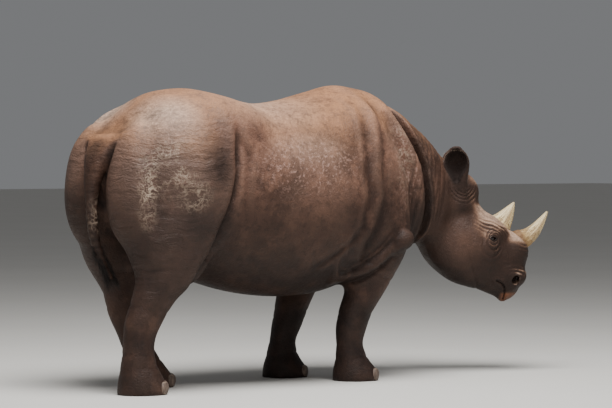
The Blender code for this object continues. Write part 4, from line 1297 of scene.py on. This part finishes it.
def nail_shape(foot, stations, angle, half_width):
    """Nail that wraps the front of a toe, with growth ridges across it."""
    rows, columns = 16, 24
    stations = np.array(stations)
    forward, ahead, _, aside = (float(along(0.04, stations, column)) for column in range(1, 5))
    turn = math.radians(angle)
    out = Vector((math.cos(turn) * ahead, math.sin(turn) * aside, 0))
    middle = Vector((foot[0] + forward, foot[1], 0.031)) + out * 0.93
    axes = Matrix.Rotation(turn, 3, "Z")
    shape = bmesh.new()
    rise = shape.verts.layers.float.new("rise")
    loops = []
    for row in range(1, rows):
        tall = math.pi * row / rows
        flat = math.sin(tall) ** 0.75
        ridge = 1 + 0.010 * math.sin(row * 2.4)
        loop = []
        for step in range(columns):
            around = math.tau * step / columns
            squared = 1 / (abs(math.cos(around)) ** 3 + abs(math.sin(around)) ** 3) ** (1 / 3)
            place = middle + axes @ Vector((
                0.020 * math.cos(around) * squared * flat * ridge,
                half_width * math.sin(around) * squared * flat * 0.96,
                0.034 * math.cos(tall),
            ))
            place.z = max(place.z, 0.0043)
            vertex = shape.verts.new(place + ORIGIN)
            vertex[rise] = min(1.0, max(0.0, place.z / 0.065))
            loop.append(vertex)
        loops.append(loop)
    join_loops(shape, loops)
    shape.faces.new(loops[0])
    shape.faces.new(loops[-1])
    bmesh.ops.remove_doubles(shape, verts=shape.verts, dist=0.00005)
    return shape


# Nail: worn matt keratin, brown-grey with streaks along its growth and a pale chipped edge.
nail_finish, tree, shader, places = new_finish("worn hoof nail", "#66564b", 0.60, 0.35)
rise = add_node(tree, "ShaderNodeAttribute", gives="Fac", attribute_name="rise")
drawn_out = add_node(tree, "ShaderNodeMapping", {"Vector": places, "Scale": (160.0, 160.0, 18.0)})
streaks = add_node(tree, "ShaderNodeTexNoise", (drawn_out, 1.0, 3.0, 0.6))
stains = add_node(tree, "ShaderNodeTexNoise", (places, 1 / 0.020, 4.0, 0.6))
nail_colour = layered(
    tree, "#4d3f37",
    ("#77665a", (streaks, 0.35, 0.65)),
    ("#8f7c6d", (rise, 0.85, 0.98, 0.0, 0.7)),
    ("#a18c78", (rise, 0.20, 0.05, 0.0, 0.7)),
    ("#3b2e28", (stains, 0.50, 0.75, 0.0, 0.5)),
)
surfaced(tree, shader, nail_colour, product(tree, streaks, 0.0012))
for leg_name, (leg_foot, _, _, leg_stations) in LEGS.items():
    for toe, toe_angle, half_width in zip(("inner", "middle", "outer"), TOES, (0.039, 0.050, 0.039)):
        toe_turn = -math.copysign(1, leg_foot[1]) * toe_angle
        nail = nail_shape(leg_foot, leg_stations, toe_turn, half_width)
        add_piece(f"{leg_name}_toenail_{toe}", nail, nail_finish, f"{leg_name}_nail_{toe}")


# ---- Hair ----
# The only hair that shows: stiff black bristles down both edges of the tail's end, a pale fringe on the ears'
# rims, and short lashes. Each hair is a tapering rod that bends a little, rooted in the skin.


def hair_tree(name, finish):
    """Geometry Nodes tree that stands a tapering hair on each point of a mesh, by the point's numbers."""
    tree = bpy.data.node_groups.new(name, "GeometryNodeTree")
    tree.interface.new_socket("Geometry", in_out="INPUT", socket_type="NodeSocketGeometry")
    for socket_name in ("Thickness", "Bend"):
        tree.interface.new_socket(socket_name, in_out="INPUT", socket_type="NodeSocketFloat")
    tree.interface.new_socket("Geometry", in_out="OUTPUT", socket_type="NodeSocketGeometry")
    given = tree.nodes.new("NodeGroupInput").outputs
    # A unit hair: a six-step line along Z that leans over as it rises, then given a tapering square section.
    line = add_node(tree, "GeometryNodeCurvePrimitiveLine", {"Start": (0, 0, 0), "End": (0, 0, 1)})
    line = add_node(tree, "GeometryNodeResampleCurve", {"Curve": line, "Count": 7})
    factor = add_node(tree, "GeometryNodeSplineParameter")
    lean = product(tree, factor, factor, given["Bend"])
    offset = add_node(tree, "ShaderNodeCombineXYZ", {"X": lean})
    line = add_node(tree, "GeometryNodeSetPosition", {"Geometry": line, "Offset": offset})
    taper = add_node(tree, "ShaderNodeMapRange", {"Value": factor, "To Min": 1.0, "To Max": 0.12})
    thick = product(tree, taper, given["Thickness"])
    line = add_node(tree, "GeometryNodeSetCurveRadius", {"Curve": line, "Radius": thick})
    section = add_node(tree, "GeometryNodeCurvePrimitiveCircle", {"Resolution": 4, "Radius": 1.0})
    hair = {"Curve": line, "Profile Curve": section, "Scale": thick, "Fill Caps": True}
    hair = add_node(tree, "GeometryNodeCurveToMesh", hair)
    length, grows, rolled = (
        add_node(tree, "GeometryNodeInputNamedAttribute", {"Name": name}, data_type=kind)
        for name, kind in (("length", "FLOAT"), ("grows", "FLOAT_VECTOR"), ("rolled", "FLOAT"))
    )
    turn = add_node(tree, "FunctionNodeAlignRotationToVector", {"Vector": grows}, axis="Z")
    spin = add_node(tree, "FunctionNodeAxisAngleToRotation", {"Axis": (0, 0, 1), "Angle": rolled})
    turn = add_node(
        tree, "FunctionNodeRotateRotation", {"Rotation": turn, "Rotate By": spin}, rotation_space="LOCAL"
    )
    sized = add_node(tree, "ShaderNodeCombineXYZ", (length, length, length))
    stood = {"Points": given["Geometry"], "Instance": hair, "Rotation": turn, "Scale": sized}
    stood = add_node(tree, "GeometryNodeInstanceOnPoints", stood)
    solid = add_node(tree, "GeometryNodeRealizeInstances", {"Geometry": stood})
    solid = add_node(tree, "GeometryNodeSetMaterial", {"Geometry": solid, "Material": finish})
    tree.links.new(solid, tree.nodes.new("NodeGroupOutput").inputs["Geometry"])
    return tree


def grown(name, roots, finish_name, root_colour, tip_colour, roughness, thickness, bend):
    """Piece of matt hair grown from roots: each has a place, direction, length, roll and place on the map."""
    finish, tree, shader, cloudy = new_finish(finish_name, root_colour, roughness, 0.35)
    streaks = add_node(tree, "ShaderNodeTexNoise", (cloudy, 1 / 0.012, 3.0, 0.6))
    grain = add_node(tree, "ShaderNodeTexNoise", (cloudy, 1 / 0.002, 2.0, 0.5))
    hair_colour = layered(tree, root_colour, (tip_colour, (streaks, 0.35, 0.65)))
    surfaced(tree, shader, hair_colour, product(tree, grain, 0.0002))
    places, directions, lengths, rolls, on_map = (np.array(column, np.float32) for column in zip(*roots))
    mesh = bpy.data.meshes.new(name)
    mesh.from_pydata((places + np.array(ORIGIN)).tolist(), [], [])
    mesh.attributes.new("grows", "FLOAT_VECTOR", "POINT").data.foreach_set("vector", directions.ravel())
    mesh.attributes.new("length", "FLOAT", "POINT").data.foreach_set("value", lengths)
    mesh.attributes.new("rolled", "FLOAT", "POINT").data.foreach_set("value", rolls)
    piece = bpy.data.objects.new(name, mesh)
    bpy.context.collection.objects.link(piece)
    grow = piece.modifiers.new("grow", "NODES")
    grow.node_group = hair_tree(name, finish)
    for socket in grow.node_group.interface.items_tree:
        if socket.in_out == "INPUT" and socket.name in ("Thickness", "Bend"):
            grow[socket.identifier] = thickness if socket.name == "Thickness" else bend
    grown_over = piece.evaluated_get(bpy.context.evaluated_depsgraph_get())
    piece.data = bpy.data.meshes.new_from_object(grown_over)
    piece.modifiers.clear()
    # Each hair is a small patch of the map, at its root's place on the flattened skin.
    each = len(piece.data.loops) // len(places)
    corners = np.arange(len(piece.data.loops))
    spread = np.stack((corners % 7 / 6 - 0.5, corners % 5 / 4 - 0.5), -1) * 0.003
    patch_map = piece.data.uv_layers.new(name="OFBake")
    patch_map.data.foreach_set("uv", (np.repeat(on_map, each, axis=0) + spread).astype(np.float32).ravel())
    piece.data.polygons.foreach_set("use_smooth", [True] * len(piece.data.polygons))
    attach(piece, "root")
    return piece


# Tail bristles: stiff and wiry, near black. They leave both edges of the tail's last third and its tip.
chance = np.random.default_rng(11)
bristle_roots = []
for _ in range(720):
    height = 0.585 + 0.17 * chance.random() ** 1.6
    edge = math.pi * (chance.random() < 0.5) + chance.normal(0, 0.55)
    radius = 0.017 if height > 0.60 else 0.012
    slope = float(tail_middle(np.array(height + 0.01)) - tail_middle(np.array(height - 0.01))) / 0.02
    down = Vector((-slope, 0, -1)).normalized()
    out = Vector((math.cos(edge), math.sin(edge), 0))
    place = Vector((float(tail_middle(np.array(height))), TAIL_Y, height)) + out * radius
    grows = (down + out * (0.16 + 0.10 * chance.random()) + Vector(chance.normal(0, 0.05, 3))).normalized()
    length = 0.055 + 0.055 * chance.random()
    length = min(length, (place.z - 0.475) / max(0.3, -grows.z))
    patch_place = (0.05 + 0.9 * (edge % math.tau) / math.tau, 0.05 + 0.9 * (height - 0.5) / 0.8)
    bristle_roots.append((place, grows, length, chance.random() * math.tau, patch_place))
tail_bristles = grown(
    "tail_bristles", bristle_roots, "wiry black tail bristle", "#15100e", "#2a201c", 0.55, 0.012, 0.10
)
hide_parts("tail_brush")

# Ear fringe: short pale hairs along the rim of each cup, longest at its tip, leaning out over the opening.
RIM = np.array((
    (0.125, 0.020), (0.148, 0.040), (0.178, 0.0585), (0.22, 0.0640), (0.258, 0.0485), (0.282, 0.018),
))
fringe_roots = []
for side in (-1, 1):
    axes = ear_axes(side)
    for _ in range(230):
        rim = chance.uniform(-1, 1)
        rise = 0.276 - 0.120 * abs(rim) ** 1.5
        across = math.copysign(float(along(np.array(rise), RIM, 1)), rim) * min(1.0, abs(rim) * 6)
        place = axes @ Vector((across, 0.008 + chance.normal(0, 0.0015), rise))
        out = Vector((math.copysign(0.55, rim) * min(1, abs(rim) * 3), 0.55, 0.55 + 0.6 * (1 - abs(rim))))
        grows = (axes.to_3x3() @ (out + Vector(chance.normal(0, 0.18, 3)))).normalized()
        length = (0.006 + 0.006 * chance.random()) * (1.25 - 0.5 * abs(rim))
        patch_place = (0.25 + 0.25 * side + 0.11 * rim + 0.25, 0.05 + 0.9 * rise / 0.3)
        fringe_roots.append((place, grows, length, chance.random() * math.tau, patch_place))
grown("ear_fringe", fringe_roots, "pale ear fringe", "#9c8a78", "#6a5749", 0.60, 0.030, 0.15)

# Lashes: short dark hairs on the upper lid's edge, curving down and out.
lash_roots = []
cosine, sine = math.cos(EYE_FACING), math.sin(EYE_FACING)
head_axes = Matrix.Rotation(HEAD_TURN, 3, "Z")
for side in (-1, 1):
    for _ in range(46):
        run = chance.uniform(-0.0125, 0.0125)
        rise = math.sqrt(max(0.0205**2 - run**2, 0)) - 0.0120 - 0.10 * run + 0.0006
        away = math.sqrt(max((EYE_RADIUS + 0.0020) ** 2 - run**2 - rise**2, 0))
        local = Vector((run * cosine + away * sine, side * (away * cosine - run * sine), rise))
        place = head_place((EYE_PLACE.x, side * EYE_PLACE.y, EYE_PLACE.z)) + head_axes @ local
        out = Vector((run * 25 + 0.15, side * 1.0, -0.25)) + Vector(chance.normal(0, 0.10, 3))
        grows = (head_axes @ out).normalized()
        patch_place = (0.5 + side * 0.25 + run * 8, 0.5 + rise * 8)
        length = 0.008 + 0.004 * chance.random()
        lash_roots.append((place, grows, length, chance.random() * math.tau, patch_place))
grown("lashes", lash_roots, "dark lash", "#120d0b", "#241a16", 0.50, 0.035, -0.2)


# ---- Floor, light and camera ----
# A plain pale studio floor, a broad soft light overhead and a weak fill from the camera's side.

floor_mesh = bpy.data.meshes.new("floor")
floor_mesh.from_pydata([(-60, -60, 0), (60, -60, 0), (60, 60, 0), (-60, 60, 0)], [], [(0, 1, 2, 3)])
floor = bpy.data.objects.new("floor", floor_mesh)
bpy.context.collection.objects.link(floor)
floor_finish, tree, shader, places = new_finish("pale studio floor", "#cfccc6", 0.85, 0.2)
cloudy = add_node(tree, "ShaderNodeTexNoise", (places, 1 / 1.5, 3.0, 0.5))
tree.links.new(layered(tree, "#cbc8c2", ("#d3d0ca", cloudy)), shader.inputs["Base Color"])
floor_mesh.materials.append(floor_finish)

world = bpy.data.worlds.new("studio")
world.use_nodes = True
world.node_tree.nodes["Background"].inputs["Color"].default_value = linear("#d9dbde")
world.node_tree.nodes["Background"].inputs["Strength"].default_value = 0.27
bpy.context.scene.world = world

for light_name, place, target, power in (
    ("overhead", (-1.2, -2.2, 6.5), (0, 0, 1.0), 900), ("fill", (-9.0, -8.0, 3.0), (0, 0, 0.8), 90),
):
    panel = bpy.data.lights.new(light_name, "AREA")
    panel.size, panel.energy = 4.0, power
    light = bpy.data.objects.new(light_name, panel)
    light.location = place
    light.rotation_euler = (Vector(target) - Vector(place)).to_track_quat("-Z", "Y").to_euler()
    bpy.context.collection.objects.link(light)

lens = bpy.data.cameras.new("camera")
lens.lens, lens.sensor_width, lens.clip_end = 159.6, 36.0, 200.0
camera = bpy.data.objects.new("camera", lens)
camera.location = ORIGIN + Vector((-8.930, -11.182, 1.2))
camera.rotation_euler = (math.radians(88.86), 0, math.radians(-38))
bpy.context.collection.objects.link(camera)
bpy.context.scene.camera = camera
